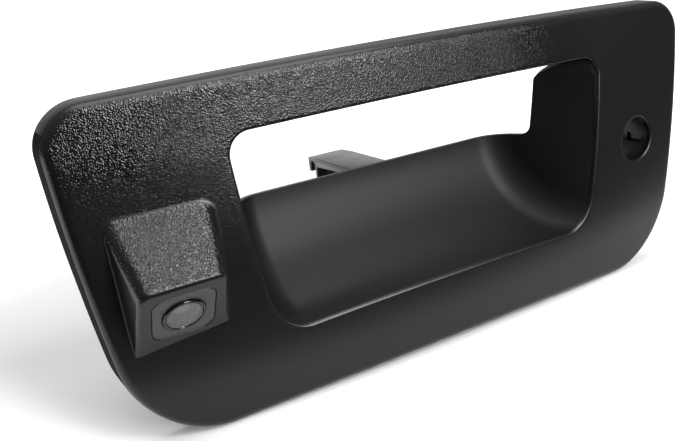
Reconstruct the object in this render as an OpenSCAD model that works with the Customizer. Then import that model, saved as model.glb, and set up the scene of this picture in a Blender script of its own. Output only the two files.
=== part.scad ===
// Tailgate handle bezel with a built-in backup camera.
// X runs across the bezel to the right, Y from the face to the rear, Z up. The origin is the middle
// of the bezel on the plane of its rear rim, which seats on the tailgate. All sizes are millimetres.

/* [Bezel] */
// Width of the bezel across its top corners
bezel_w = 341.6; // [320:0.2:370]
// Height of the bezel
bezel_h = 148.2; // [138:0.2:160]
// Depth of the shell from the middle of the face to the rear rim
shell_d = 17; // [14:0.5:22]
// Thickness of the moulded walls
wall = 2.8; // [2.2:0.1:3.4]
// How far each side comes in from the top to the bottom
side_taper = 16; // [5:0.5:25]
// How far each side bulges outwards at half height
side_belly = 3.5; // [0:0.5:8]
// How far the top edge drops towards the corners
edge_bow = 3.2; // [0:0.1:5]
// How far the bottom edge drops towards the corners
foot_bow = 3.8; // [0:0.1:5]
// How far the face sweeps back at the left and right sides
bow_across = 8; // [2:0.5:10]
// How far the face sweeps back at the top and bottom
bow_up = 2.5; // [0:0.5:4]
// Radius of the two upper corners
top_corner_r = 19; // [14:1:30]
// Radius of the two lower corners
bottom_corner_r = 41; // [24:1:48]
// How far the side wall splays out from the face to the rear rim
draft = 0.8; // [0:0.1:2.5]
// Radius of the edge between the face and the side wall
edge_r = 4; // [2:0.5:5]

/* [Handle opening] */
// Width of the opening across its top
open_w = 204; // [190:1:214]
// Height of the opening
open_h = 89; // [80:1:94]
// Height of the middle of the opening above the middle of the bezel
open_z = 6.5; // [3:0.5:8]
// How far each side of the opening comes in from its top to its bottom
open_taper = 10.5; // [0:0.5:16]
// How far each side of the opening bulges outwards
open_belly = 1.75; // [0:0.25:4]
// How far the long edges of the opening droop towards its corners
open_droop = 1.9; // [0:0.1:3]
// Radius of the upper corners of the opening
open_high_r = 10; // [6:1:16]
// Radius of the lower corners of the opening
open_low_r = 17; // [8:1:20]
// Radius of the edge between the face and the opening
open_edge_r = 1.6; // [0.8:0.2:2.4]

/* [Hand cup] */
// Depth of the back of the cup behind the rear rim
cup_y = 38; // [32:0.5:48]
// Height of the top edge of the cup's back above the middle of the bezel
cup_z = 9; // [4:0.5:14]
// How far the cup's right end comes in for each millimetre of depth
right_taper = 0.5; // [0.3:0.02:0.6]
// How far the cup's left end comes in for each millimetre of depth
left_taper = 0.3; // [0.2:0.02:0.6]
// Radius of the upright corner at the right of the cup's back
right_corner_r = 19; // [12:1:24]
// Radius of the upright corner at the left of the cup's back
left_corner_r = 12; // [8:1:24]
// Depth behind the rim at which the cup's ends are cut off
end_y = 17.5; // [13:0.5:21]
// Radius at the foot of that cut
end_r = 5; // [3:0.5:8]

/* [Camera housing on the face] */
// Distance of the camera from the middle of the bezel
camera_x = 134; // [130:0.5:138]
// Height of the lens face's lower edge below the middle of the bezel
foot_z = 28.7; // [24:0.1:34]
// Tilt of the lens face from upright, looking down
tilt = 33; // [25:1:38]
// Length of the lens face, measured along its slope
lens_face_l = 36; // [34:0.5:40]
// Width of the lens face at its upper edge
lens_face_w = 35.6; // [33:0.2:38]
// Width of the wedge at its lower edge
foot_w = 40.6; // [38:0.2:44]
// Width of the wedge where its top meets the face
crown_w = 43.5; // [40:0.5:48]
// Height at which the wedge's top meets the face
crown_z = 26.2; // [22:0.2:29]
// Radius of the wedge's upper corners
wedge_corner_r = 5; // [3:0.5:7]
// Radius of the edge round the lens face
wedge_edge_r = 2.4; // [1:0.2:2.6]
// Thickness of the wedge's wall
wedge_wall = 2.4; // [1.8:0.1:2.6]

/* [Camera] */
// Width of the camera's front
camera_w = 26; // [25:0.5:27]
// Height of the camera's front
camera_h = 25; // [24:0.5:26]
// Corner radius of the camera's front
camera_corner_r = 5; // [4:0.5:6]
// Distance of the camera's axis above the lens face's lower edge
camera_up = 17; // [16.5:0.5:18]
// Length of the camera from the lens face to its back
camera_l = 22; // [21:0.5:24]
// Outer diameter of the bright ring round the lens window
ring_d = 17.8; // [17:0.1:18.6]
// Diameter of the lens window
window_d = 15.4; // [14.8:0.1:15.8]
// How far the ring stands out of the camera's front
ring_proud = 0.8; // [0.4:0.1:1.4]
// Outer diameter of the lens barrel
barrel_d = 12; // [11.6:0.1:12.4]
// Diameter of the hole for the lead in its rubber gland
lead_d = 3.8; // [3:0.2:4.6]
// Length of the gland outside the camera's back
gland_l = 9; // [6:0.5:12]

/* [Lock hole] */
// Distance of the lock hole from the middle of the bezel
lock_x = 132; // [128:0.5:136]
// Diameter of the lock hole
lock_d = 24; // [20:0.5:27]
// Depth of the lock collar behind the rear rim
lock_y = 14; // [8:0.5:18]
// Width of the key slot in the collar's wall
lock_slot = 8; // [4:0.5:10]

/* [Rear arm] */
// Width of the arm
arm_w = 23.5; // [18:0.5:30]
// Distance of the arm's end behind the rear rim
arm_y = 107.5; // [90:0.5:120]
// Height of the arm's top above the middle of the bezel
arm_z = 4.5; // [0:0.5:6]
// Thickness of the arm's top and webs
arm_t = 2.4; // [2:0.1:3]
// Depth of the lip at the arm's end
arm_lip = 9; // [6:0.5:12]

/* [Fixings] */
// Width of the blades that carry the spring clips
blade_w = 14; // [12:0.5:18]
// Thickness of those blades
blade_t = 2.4; // [2:0.1:3]
// How far the blades reach behind the rear rim
blade_y = 13; // [11:0.5:16]
// Thickness of the spring clips' strip
clip_t = 0.6; // [0.4:0.1:0.8]
// Diameter of the bracket's screws
screw_d = 3; // [2.5:0.1:3.5]
// Thickness of the camera bracket
bracket_t = 1.5; // [1:0.1:2]
// Width of the camera bracket
bracket_w = 18; // [16:0.5:20]
// Running clearance between pieces that fit in one another
gap = 0.15; // [0.1:0.05:0.25]

/* [Hidden] */
$fn = 64;

plastic = "#1c1c1d";
gloss = "#0c0c0e";
rubber = "#232323";
steel = "#a9abad";
glass = "#6f7f88";

// Sizes that follow from the ones above
half_w = bezel_w / 2;
half_h = bezel_h / 2;
open_half = open_w / 2;
open_low = open_z - open_h / 2;
open_high = open_z + open_h / 2;
bury = wall / 2;
nil = 0.01;
thread_gap = 0.05;

// Steps of the shell's grid: half the long edges, a corner, a side, and along each section
across = 8;
corner = 8;
up = 8;
edge_steps = 4;
face_steps = 3;
cup_steps = 8;
back_steps = 6;

function mix(a, b, t) = a + (b - a) * t;
function unit(v) = v / norm(v);
function run(p, q, n) = [for (i = [0:n - 1]) mix(p, q, i / n)];
function arc(c, r, from, n) = [for (i = [0:n - 1]) c + r * [cos(from + 90 * i / n), sin(from + 90 * i / n)]];

// The whole loop from its right half, which runs from the bottom middle to the top middle
function flipped(p) = len(p) == 3 ? [-p.x, p.y, p.z] : [-p.x, p.y];
function whole(half) = concat(half, [for (i = [len(half) - 2:-1:1]) flipped(half[i])]);

// A rounded rectangle of half width a from low to high, with n = [across, corner, up] steps
function round_half(a, low, high, r_low, r_high, n) = concat(
    run([0, low], [a - r_low, low], n[0]),
    arc([a - r_low, low + r_low], r_low, 270, n[1]),
    run([a, low + r_low], [a, high - r_high], n[2]),
    arc([a - r_high, high - r_high], r_high, 0, n[1]),
    run([a - r_high, high], [0, high], n[0]),
    [[0, high]]);
shell_grid = [across, corner, up];

// The face: a shallow dome over the outline. A point p is [x, z].
function face_y(p) = -shell_d + bow_across * pow(p.x / half_w, 2) + bow_up * pow(p.y / half_h, 2);
function rim_y(p) = bow_across * pow(p.x / half_w, 2);
function on_face(p, depth = 0) = [p.x, face_y(p) + depth, p.y];

// The outline and the opening, each moved inwards or outwards by d
function side_in(s, taper, belly) = taper * (1 - s) / 2 - belly * (1 - s * s);
function outline(d) = [for (p = whole(round_half(half_w - d, d - half_h, half_h - d,
        bottom_corner_r - d, top_corner_r - d, shell_grid)))
    [p.x * (1 - side_in(p.y / half_h, side_taper, side_belly) / half_w),
     p.y + (p.y > 0 ? -edge_bow : foot_bow) * p.y / half_h * pow(p.x / half_w, 2)]];
function open_s(z) = (z - open_z) / (open_h / 2);
function open_side(z) = open_half - side_in(open_s(z), open_taper, open_belly);
function opening(d) = [for (p = whole(round_half(open_half + d, open_low - d, open_high + d,
        open_low_r + d, open_high_r + d, shell_grid)))
    [p.x * open_side(p.y) / open_half, p.y - open_droop * pow(p.x / open_half, 2) * (1 - open_s(p.y) / 3)]];

// The free rear edge of the cup: its back, the upright corner, the cut end, and the upper lip
open_ring = opening(0);
lip_corner = open_ring[across + 2 * corner + up];
function end_x(y, z, taper) = open_side(z) - taper * (y - face_y([open_half, z]));
end_low_y = end_y + 1;
end_high_y = end_y;
end_high_z = open_high - 12.5;
lip_y = -1.5;
lip_z = lip_corner.y - 1.5;
function cup_edge_half(taper, r) =
    let (turn = atan(1 / taper), y1 = cup_y - r * (1 - cos(turn)),
        x0 = end_x(y1, cup_z, taper) - r * sin(turn))
    concat(
        run([0, cup_y, cup_z], [x0, cup_y, cup_z], across),
        [for (i = [0:corner - 1]) let (a = turn * i / corner)
            [x0 + r * sin(a), cup_y - r * (1 - cos(a)), cup_z]],
        [[end_x(y1, cup_z, taper), y1, cup_z]],
        [for (a = [0:30:60])
            let (y = end_low_y + end_r * (1 - sin(a)), z = cup_z + end_r * (1 - cos(a)))
            [end_x(y, z, taper), y, z]],
        [for (i = [0:up - 5]) let (s = i / (up - 4), y = mix(end_low_y, end_high_y, s),
                z = mix(cup_z + end_r, end_high_z, s))
            [end_x(y, z, taper), y, z]],
        [for (i = [0:corner - 1]) let (a = 90 * i / corner, s = 1 - pow(cos(a), 2.5))
            [mix(end_x(end_high_y, end_high_z, taper), lip_corner.x, s), mix(end_high_y, lip_y, s),
             mix(end_high_z, lip_z, sin(a))]],
        [for (i = [0:across]) let (p = open_ring[across + 2 * corner + up + i]) [p.x, lip_y, p.y - 1.5]]);
cup_edge = let (left = cup_edge_half(left_taper, left_corner_r))
    concat(cup_edge_half(right_taper, right_corner_r), [for (i = [len(left) - 2:-1:1]) flipped(left[i])]);
cup_mouth = [for (p = open_ring) on_face(p, open_edge_r)];
stations = len(cup_edge);

// A point of the cup's skin at station i, t running from the opening to the rear edge. Across the
// floor this is a quarter of an ellipse, which rises into the back without a corner. The bend dies
// out round the ends of the floor, and the end walls and the lip run straight.
function cup_bend(i) = max(0, min(1, (across + corner + 4 - min(i, stations - i)) / 4));
function cup_point(i, t) = let (a = cup_mouth[i], b = cup_edge[i], s = sin(90 * t))
    [mix(a.x, b.x, s), mix(a.y, b.y, s), mix(a.z, b.z, mix(s, 1 - cos(90 * t), cup_bend(i)))];
function next(i) = (i + 1) % stations;
function last(i) = (i + stations - 1) % stations;
// Outwards across the skin. In the top corners, where the rear edge comes forward along the skin,
// this turns evenly from the end wall's side to the lip's.
function skin_out(i, t) = let (e = 0.02)
    unit(cross(cup_point(i, min(1, t + e)) - cup_point(i, t - e),
        cup_point(next(i), t) - cup_point(last(i), t)));
function cup_out(i, t) = let (m = min(i, stations - i), n = m - across - corner - up, a = 90 * n / corner)
    a <= 0 || a >= 90 ? skin_out(i, t)
    : let (k = i == m ? 1 : -1)
        unit(cos(a) * skin_out(i - k * n, t) + sin(a) * skin_out(i - k * (n - corner), t));
function cup_back(i, j) = let (
        t0 = asin(min(0.8, 1.4 * wall / (cup_edge[i].y - cup_mouth[i].y))) / 90,
        t = mix(1, t0, j / back_steps))
    cup_point(i, t) + wall * cup_out(i, t);

// The shell's rings, in order round its section
open_out = opening(wall);
out_in = outline(wall);
function face_ring(a, b, t, depth) = [for (i = [0:stations - 1]) on_face(mix(a[i], b[i], t), depth)];
function rim_ring(ring) = [for (p = ring) [p.x, rim_y(p), p.y]];
shell_rings = concat(
    [rim_ring(outline(-draft))],
    [for (k = [0:edge_steps]) let (a = 90 * k / edge_steps)
        [for (p = outline(edge_r * (1 - cos(a)))) on_face(p, edge_r * (1 - sin(a)))]],
    [for (k = [1:face_steps]) face_ring(outline(edge_r), opening(open_edge_r), k / face_steps, 0)],
    [for (a = [45, 90]) [for (p = opening(open_edge_r * (1 - sin(a))))
        on_face(p, open_edge_r * (1 - cos(a)))]],
    [for (k = [1:cup_steps]) [for (i = [0:stations - 1]) cup_point(i, k / cup_steps)]],
    [for (k = [0:back_steps]) [for (i = [0:stations - 1]) cup_back(i, k)]],
    [for (k = [0:face_steps]) face_ring(open_out, out_in, k / face_steps, wall)],
    [rim_ring(outline(wall - draft))]);

// A closed tube of rings that meets itself again, and a plain stack of rings with two ends
function flat(rings) = [for (ring = rings) for (p = ring) p];
module ring_tube(rings) {
    n = len(rings[0]);
    m = len(rings);
    polyhedron(flat(rings), [for (j = [0:m - 1]) for (i = [0:n - 1])
        let (a = j * n + i, b = j * n + (i + 1) % n,
            c = ((j + 1) % m) * n + (i + 1) % n, d = ((j + 1) % m) * n + i)
        each [[a, c, b], [a, d, c]]]);
}
function middle(ring) = [for (p = ring) 1] * ring / len(ring);
module ring_stack(rings) {
    n = len(rings[0]);
    m = len(rings);
    polyhedron(concat(flat(rings), [middle(rings[0]), middle(rings[m - 1])]), concat(
        [for (j = [0:m - 2]) for (i = [0:n - 1])
            let (a = j * n + i, b = j * n + (i + 1) % n)
            each [[a, a + n, b + n], [a, b + n, b]]],
        [for (i = [0:n - 1]) [m * n, i, (i + 1) % n]],
        [for (i = [0:n - 1]) [m * n + 1, (m - 1) * n + (i + 1) % n, (m - 1) * n + i]]));
}

// The wedge on the face. Its lens plane leans out of the face from the foot line. A point of that
// plane is p across, q up the slope and d behind the surface.
foot_y = face_y([camera_x, foot_z]);
function on_lens(p, q, d = 0) =
    [p - camera_x, foot_y - q * sin(tilt) + d * cos(tilt), q * cos(tilt) + d * sin(tilt) - foot_z];
wedge_grid = [2, 6, 3];
wedge_sink = 1;
// Where the lens plane, followed down its slope, lies wedge_sink behind the face
function foot_q(p) = (foot_y - face_y([p - camera_x, foot_z]) - wedge_sink) / sin(tilt);
function narrowed(ring, low, high, top_w, low_w) = [for (p = ring)
    [p.x * mix(1, top_w / low_w, (p.y - low) / (high - low)), p.y]];
// The rings of the wedge, with its skin moved inwards by d. Round the outside the foot is drawn
// down into the face, and the rounding of the lens face dies out towards it.
function wedge_ring(d, low, high, top_w) = narrowed(
    whole(round_half(foot_w / 2 - d, low, high - d, 1, max(1, wedge_corner_r - d), wedge_grid)),
    low, high, top_w, foot_w);
function wedge_front(a) = [for (p = wedge_ring(wedge_edge_r * (1 - cos(a)), 0, lens_face_l, lens_face_w))
    let (s = p.y / lens_face_l)
    on_lens(p.x, p.y + foot_q(p.x) * (1 - s), wedge_edge_r * (1 - sin(a)) * min(1, 4 * s))];
module wedge_outside() {
    base = [for (p = wedge_ring(0, 0, crown_z + foot_z, crown_w))
        let (s = p.y / (crown_z + foot_z), drop = (foot_q(p.x) * cos(tilt) - wedge_sink) * (1 - s))
        on_face([p.x - camera_x, p.y + drop - foot_z], 2 * wedge_sink)];
    ring_stack(concat([base], [for (a = [0:30:90]) wedge_front(a)]));
}
module wedge_inside() ring_stack([
    [for (p = wedge_ring(wedge_wall, 1, crown_z + foot_z, crown_w))
        on_face([p.x - camera_x, p.y - foot_z], wall + 2)],
    [for (p = wedge_ring(wedge_wall, 1, lens_face_l, lens_face_w)) on_lens(p.x, p.y, wedge_wall)]]);

// Places things in the camera's frame: x across, y up the lens face, z out of it
module at_camera() translate(on_lens(0, camera_up)) rotate([90 + tilt, 0, 0]) children();
// A plate with round corners and a disc, from depth d0 to depth d1 behind the lens face
module plate(w, h, r, d0, d1) translate([0, 0, -d1]) linear_extrude(d1 - d0) {
    square([w, h - 2 * r], center = true);
    square([w - 2 * r, h], center = true);
    for (x = [-1, 1], y = [-1, 1]) translate([x * (w / 2 - r), y * (h / 2 - r)]) circle(r);
}
module disc(r, d0, d1) translate([0, 0, -d1]) cylinder(r = r, h = d1 - d0);
module ring(r_out, r_in, d0, d1) difference() {
    disc(r_out, d0, d1);
    disc(r_in, d0 - 1, d1 + 1);
}

// Depths behind the lens face. The cover's shoulder seats on a gasket behind the wedge's wall.
cover_front = 0.1;
gasket_t = 0.8;
shoulder_w = 1.3;
shoulder_d = wedge_wall + gasket_t;
shoulder_end = shoulder_d + 1.8;
seam_d = shoulder_end + 3.2;
seal_t = 0.8;
housing_d = seam_d + seal_t;
skin = 1.6;
back_in = camera_l - skin;
board_t = 1.2;
board_d = back_in - 4;
window_t = 1.4;
window_front = 0.2 - ring_proud;
window_back = window_front + window_t;
ring_back = window_back + 1;
ring_r = ring_d / 2;
window_r = window_d / 2;
barrel_r = barrel_d / 2;
inner_r = camera_corner_r - skin;

// The four screws that close the camera run through pillars in its corners
pillar_r = 2.1;
shank_r = 0.8;
head_r = 1.4;
head_t = 1;
pillar_out = (inner_r - pillar_r - gap) / sqrt(2);
pillar_x = camera_w / 2 - camera_corner_r + pillar_out;
pillar_y = camera_h / 2 - camera_corner_r + pillar_out;
module at_pillars() for (x = [-1, 1], y = [-1, 1]) translate([x * pillar_x, y * pillar_y]) children();

// The lens stack, from the window inwards
lens_r = barrel_r - 1;
lens_curve = 10;
seat_r = 4.2;
function sag(r, at) = r - sqrt(r * r - at * at);
retainer_d = ring_back + 0.3;
front_lens_d = retainer_d + 0.9;
spacer_d = front_lens_d + 1.6;
middle_lens_d = spacer_d + 1.4;
thick = 2;
rear_lens_d = middle_lens_d + thick + 0.2;
ledge_d = rear_lens_d + thick;
barrel_end = ledge_d + 1;
filter_d = barrel_end + 0.3;
filter_end = filter_d + 0.4;
holder_d = barrel_end - 2.6;
holder_r = barrel_r + 1.1;
sensor_d = board_d - 0.9;
glass_d = sensor_d - 0.4;
sensor_w = 7;

module camera_front_cover() color(plastic) at_camera() difference() {
    union() {
        plate(camera_w, camera_h, camera_corner_r, cover_front, shoulder_d + 0.5);
        plate(camera_w + 2 * shoulder_w, camera_h + 2 * shoulder_w, camera_corner_r + shoulder_w,
            shoulder_d, shoulder_end);
        difference() {
            plate(camera_w, camera_h, camera_corner_r, shoulder_end - 0.5, seam_d);
            plate(camera_w - 2 * skin, camera_h - 2 * skin, inner_r, shoulder_end - 1, seam_d + 1);
        }
        at_pillars() disc(pillar_r, shoulder_end - 0.5, board_d);
    }
    disc(ring_r + gap, cover_front - 1, ring_back + gap);
    disc(barrel_r + gap, 0, seam_d);
    at_pillars() disc(shank_r + thread_gap, shoulder_end, board_d + 1);
}

module cover_gasket() color(rubber) at_camera() difference() {
    plate(camera_w + 2 * shoulder_w, camera_h + 2 * shoulder_w, camera_corner_r + shoulder_w,
        wedge_wall, shoulder_d);
    plate(camera_w + 2 * gap, camera_h + 2 * gap, camera_corner_r + gap, 0, shoulder_d + 1);
}

module lens_trim_ring() color(gloss) at_camera() rotate_extrude() polygon(concat(
    [[window_r + gap, -window_back], [window_r + gap, ring_proud], [ring_r - 0.5, ring_proud]],
    [for (a = [75:-15:0]) [ring_r - 0.5 + 0.5 * cos(a), ring_proud - 0.5 + 0.5 * sin(a)]],
    [[ring_r, -ring_back], [window_r - 1, -ring_back], [window_r - 1, -window_back]]));

module lens_window() color(glass, 0.5) at_camera() disc(window_r, window_front, window_back);

module lens_barrel() color(gloss) at_camera() difference() {
    disc(barrel_r, ring_back, barrel_end);
    disc(lens_r + gap, ring_back - 1, ledge_d);
    disc(seat_r - 0.6, ledge_d - 1, barrel_end + 1);
}

module lens_retainer() color(gloss) at_camera() ring(lens_r, seat_r, retainer_d, front_lens_d);

module front_lens() color(glass, 0.5) at_camera() difference() {
    union() {
        disc(lens_r, front_lens_d, spacer_d);
        intersection() {
            disc(seat_r - 0.1, front_lens_d - 2, spacer_d);
            translate([0, 0, -front_lens_d - lens_curve + sag(lens_curve, seat_r)]) sphere(lens_curve);
        }
    }
    translate([0, 0, -spacer_d - lens_curve + 0.8]) sphere(lens_curve);
}

module lens_spacer() color(gloss) at_camera() {
    ring(lens_r, seat_r, spacer_d, middle_lens_d);
    ring(lens_r, seat_r, middle_lens_d + thick - sag(lens_curve, seat_r),
        rear_lens_d + sag(lens_curve, seat_r));
}

module middle_lens() color(glass, 0.5) at_camera() intersection() {
    disc(lens_r, middle_lens_d, middle_lens_d + thick + 1);
    translate([0, 0, lens_curve - middle_lens_d - thick]) sphere(lens_curve);
}

module rear_lens() color(glass, 0.5) at_camera() intersection() {
    disc(lens_r, rear_lens_d - 1, ledge_d);
    translate([0, 0, -rear_lens_d - lens_curve]) sphere(lens_curve);
}

module ir_filter() color("#7f5f6a", 0.6) at_camera() disc(barrel_r, filter_d, filter_end);

module lens_holder() color(plastic) at_camera() difference() {
    union() {
        disc(holder_r, holder_d, board_d);
        plate(2 * holder_r, 2 * holder_r, 3, board_d - 1.4, board_d);
    }
    disc(barrel_r + gap, holder_d - 1, filter_end);
    disc(seat_r, filter_end - 1, filter_end + 1);
    plate(sensor_w + 1, sensor_w + 1, 0.5, filter_end + 0.6, board_d + 1);
}

module sensor_glass() color(glass, 0.5) at_camera()
    plate(sensor_w - 0.8, sensor_w - 1.2, 0.2, glass_d, sensor_d);

module image_sensor() color("#2b3a33") at_camera()
    plate(sensor_w, sensor_w - 0.4, 0.2, sensor_d, board_d);

module camera_board() color("#1f5a35") at_camera() difference() {
    plate(camera_w - 2 * skin - 2 * gap, camera_h - 2 * skin - 2 * gap, inner_r - gap,
        board_d, board_d + board_t);
    at_pillars() disc(shank_r + gap, board_d - 1, board_d + board_t + 1);
}

// Two chips and three small parts, each [x, y, width, height]
chips = [[-5.2, -5.5, 5, 4], [4.6, -5.8, 4, 3], [-7.6, 0, 2, 3], [7.6, 0, 2, 3], [0, -8.5, 3, 1.6]];
module board_components() color("#141414") at_camera() for (c = chips)
    translate([c[0], c[1]]) plate(c[2], c[3], 0.2, board_d + board_t, board_d + board_t + 0.9);

module board_connector() color("#e8e4d8") at_camera() translate([0, camera_h / 2 - skin - 3.6]) difference() {
    plate(9, 4, 0.3, board_d + board_t, back_in - 0.3);
    plate(7.6, 2.6, 0.2, board_d + board_t + 0.8, back_in);
}

module housing_seal() color(rubber) at_camera() difference() {
    plate(camera_w - 0.4, camera_h - 0.4, camera_corner_r - 0.2, seam_d, housing_d);
    plate(camera_w - 2 * skin, camera_h - 2 * skin, inner_r, seam_d - 1, housing_d + 1);
}

// The rubber gland: a flange inside the back, a neck through it, and a tapered sleeve outside
gland_r = 3;
gland_flange = 4;
module camera_housing() color(plastic) at_camera() difference() {
    union() {
        difference() {
            plate(camera_w, camera_h, camera_corner_r, housing_d, camera_l);
            plate(camera_w - 2 * skin, camera_h - 2 * skin, inner_r, housing_d - 1, back_in);
        }
        at_pillars() disc(pillar_r, board_d + board_t, back_in + 0.5);
    }
    at_pillars() {
        disc(shank_r + gap, board_d, camera_l + 1);
        disc(head_r + gap, camera_l - head_t, camera_l + 1);
    }
    disc(gland_r, back_in - 1, camera_l + 1);
}

module housing_screws() color(steel) at_camera() at_pillars() {
    disc(shank_r, board_d - 5, camera_l - head_t + nil);
    difference() {
        disc(head_r, camera_l - head_t, camera_l);
        disc(0.55, camera_l - 0.5, camera_l + 1);
    }
}

module cable_gland() color(rubber) at_camera() difference() {
    union() {
        disc(gland_flange, back_in - 0.9, back_in);
        disc(gland_r, back_in - 0.5, camera_l + 1);
        disc(gland_flange, camera_l, camera_l + 1.5);
        translate([0, 0, -camera_l - gland_l])
            cylinder(r1 = lead_d / 2 + 1, r2 = gland_flange - 0.6, h = gland_l - 1);
    }
    disc(lead_d / 2, back_in - 2, camera_l + gland_l + 1);
}

// The bracket behind the camera, as a path of [y, z] points on the side that meets the camera
boss_r = screw_d / 2 + 2.2;
top_screw_z = crown_z + 9;
low_screw_z = -foot_z - 9;
foot_over = 6;
top_foot_y = face_y([camera_x, top_screw_z]) + wall + 3.5;
function lens_line(q, d) = let (p = on_lens(0, q, d)) [p.y, p.z];
bend_top_q = (foot_y + camera_l * cos(tilt) - top_foot_y) / sin(tilt);
bend_low = lens_line(camera_up - camera_h / 2, camera_l);
low_foot_y = bend_low.x;
bracket_path = [[top_foot_y, top_screw_z + foot_over], lens_line(bend_top_q, camera_l), bend_low,
    [low_foot_y, low_screw_z - foot_over]];
bracket_mitre = let (a = [1, 0], b = [cos(tilt), sin(tilt)]) (a + b) / (1 + a * b);
bracket_screws_at = [[top_screw_z, top_foot_y], [low_screw_z, low_foot_y]];
// Extrudes a [y, z] outline along X, and places a rod along Y from y0 to y1
module along_x(w) rotate([90, 0, 90]) linear_extrude(w, center = true) children();
module rod(x, z, r, y0, y1) translate([x, y0, z]) rotate([-90, 0, 0]) cylinder(r = r, h = y1 - y0);

module camera_bracket() color(steel) difference() {
    translate([-camera_x, 0, 0]) along_x(bracket_w) polygon(concat(bracket_path, [
        bracket_path[3] + [bracket_t, 0], bracket_path[2] + bracket_t * bracket_mitre,
        bracket_path[1] + bracket_t * bracket_mitre, bracket_path[0] + [bracket_t, 0]]));
    for (s = bracket_screws_at) rod(-camera_x, s[0], screw_d / 2 + gap, s[1] - 1, s[1] + bracket_t + 1);
    at_camera() disc(gland_flange + gap, camera_l - 1, camera_l + 5);
}

module bracket_screws() color(steel) for (s = bracket_screws_at) {
    rod(-camera_x, s[0], screw_d / 2, s[1] - 3, s[1] + bracket_t + nil);
    difference() {
        rod(-camera_x, s[0], screw_d, s[1] + bracket_t, s[1] + bracket_t + 2);
        rod(-camera_x, s[0], screw_d / 2 - 0.4, s[1] + bracket_t + 1, s[1] + bracket_t + 3);
    }
}

// The lock hole's collar, with a key slot on its outer side and a rounded mouth in the face
lock_r = lock_d / 2;
lock_face = face_y([lock_x, 0]);
lock_edge = 1.2;
module lock_collar() {
    rod(lock_x, 0, lock_r + wall, lock_face + bury, lock_y);
    for (z = [-1, 1]) translate([lock_x, 0, 0]) along_x(2) polygon([[lock_face + bury, z * lock_r],
        [lock_y - 4, z * (lock_r + 1)], [lock_face + bury, z * (lock_r + 20)]]);
}
mouth_r = lock_r - gap;
module lock_bore() {
    rod(lock_x, 0, lock_r, lock_face - 5, lock_y + 1);
    translate([lock_x + lock_r - 1, lock_face + wall + 4, -lock_slot - gap])
        cube([1 + wall / 2, 10, lock_slot]);
    translate([lock_x, lock_face, 0]) rotate([-90, 0, atan(2 * bow_across * lock_x / pow(half_w, 2))])
        rotate_extrude() polygon(concat([[mouth_r - 2, -2], [mouth_r + lock_edge, -2]],
            [for (a = [0:15:90]) [mouth_r + lock_edge * (1 - sin(a)), lock_edge * (1 - cos(a))]],
            [[mouth_r - 2, lock_edge]]));
}

// The arm behind the cup: a top plate, an arched hook at its end, two shallow skirts and a deep web
function cup_back_y(z) = let (c = (cup_z - z) / (cup_z - open_low))
    mix(open_edge_r - shell_d, cup_y, sqrt(1 - c * c)) + bury;
arm_under = arm_z - arm_t;
hook_t = 3;
hook_gap = 5;
leg_y = arm_y - hook_t - hook_gap;
skirt = 3.2;
skirt_rise = 30;
web = 9;
module arm() {
    along_x(arm_w) difference() {
        polygon([[cup_back_y(arm_z), arm_z], [arm_y - 12, arm_z], [arm_y, arm_z - 0.6],
            [arm_y, arm_z - arm_lip],
            [arm_y - hook_t, arm_z - arm_lip], [arm_y - hook_t, arm_under - 2.4], [leg_y, arm_under - 2.4],
            [leg_y, arm_z - arm_lip - 5], [leg_y - arm_t, arm_z - arm_lip - 5], [leg_y - arm_t, arm_under],
            [cup_back_y(arm_under), arm_under]]);
        translate([leg_y + hook_gap / 2, arm_under - 2.4]) circle(hook_gap / 2);
    }
    for (x = [-1, 1]) translate([x * (arm_w - arm_t) / 2, 0, 0]) along_x(arm_t) polygon([
        [cup_back_y(arm_under + 0.5), arm_under + 0.5], [leg_y - nil, arm_under + 0.5],
        [leg_y - nil, arm_under - skirt], [leg_y - skirt_rise, arm_under - skirt / 2],
        [cup_back_y(arm_under - web), arm_under - web]]);
    along_x(arm_t) difference() {
        polygon([[cup_back_y(arm_under + 0.5), arm_under + 0.5], [leg_y - nil, arm_under + 0.5],
            [leg_y - nil, arm_under - web], [cup_back_y(arm_under - web), arm_under - web]]);
        for (y = [leg_y - 8:-15:cup_y + 12]) translate([y, arm_under - web - 1]) circle(5.5);
    }
}

// Blades behind the rim for the spring clips, and ribs that stiffen the long bands
blade_top_z = (open_high + half_h) / 2;
blade_low_z = (open_low - half_h) / 2;
blade_far = 128;
blade_near = 62;
blades = concat([for (x = [-blade_far, -blade_near, blade_near, blade_far]) [x, blade_top_z]],
    [for (x = [-blade_near, blade_near]) [x, blade_low_z]]);
window = 4;
window_y = 6;
module blade_at(p) let (y0 = face_y(p) + bury) difference() {
    translate([p.x - blade_w / 2, y0, p.y - blade_t / 2]) cube([blade_w, blade_y - y0, blade_t]);
    translate([p.x - window / 2, window_y, p.y - blade_t]) cube([window, window, 2 * blade_t]);
}
rib_t = 1.8;
rib_end = -2.5;
rib_near = 33;
rib_far = 88;
function droop_at(x, s) = open_droop * pow(x / open_half, 2) * (1 - s / 3);
module rib(x, z0, z1) let (y0 = face_y([x, half_h]) + 0.6)
    translate([x - rib_t / 2, y0, z0]) cube([rib_t, rib_end - y0, z1 - z0]);
module ribs() {
    for (x = [-rib_far, -rib_near, 0, rib_near, rib_far])
        rib(x, open_high - droop_at(x, 1) + 1.2, half_h - 1.8);
    for (x = [-rib_near, 0, rib_near]) rib(x, 1.8 - half_h, open_low - droop_at(x, -1) - 1);
}

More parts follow.
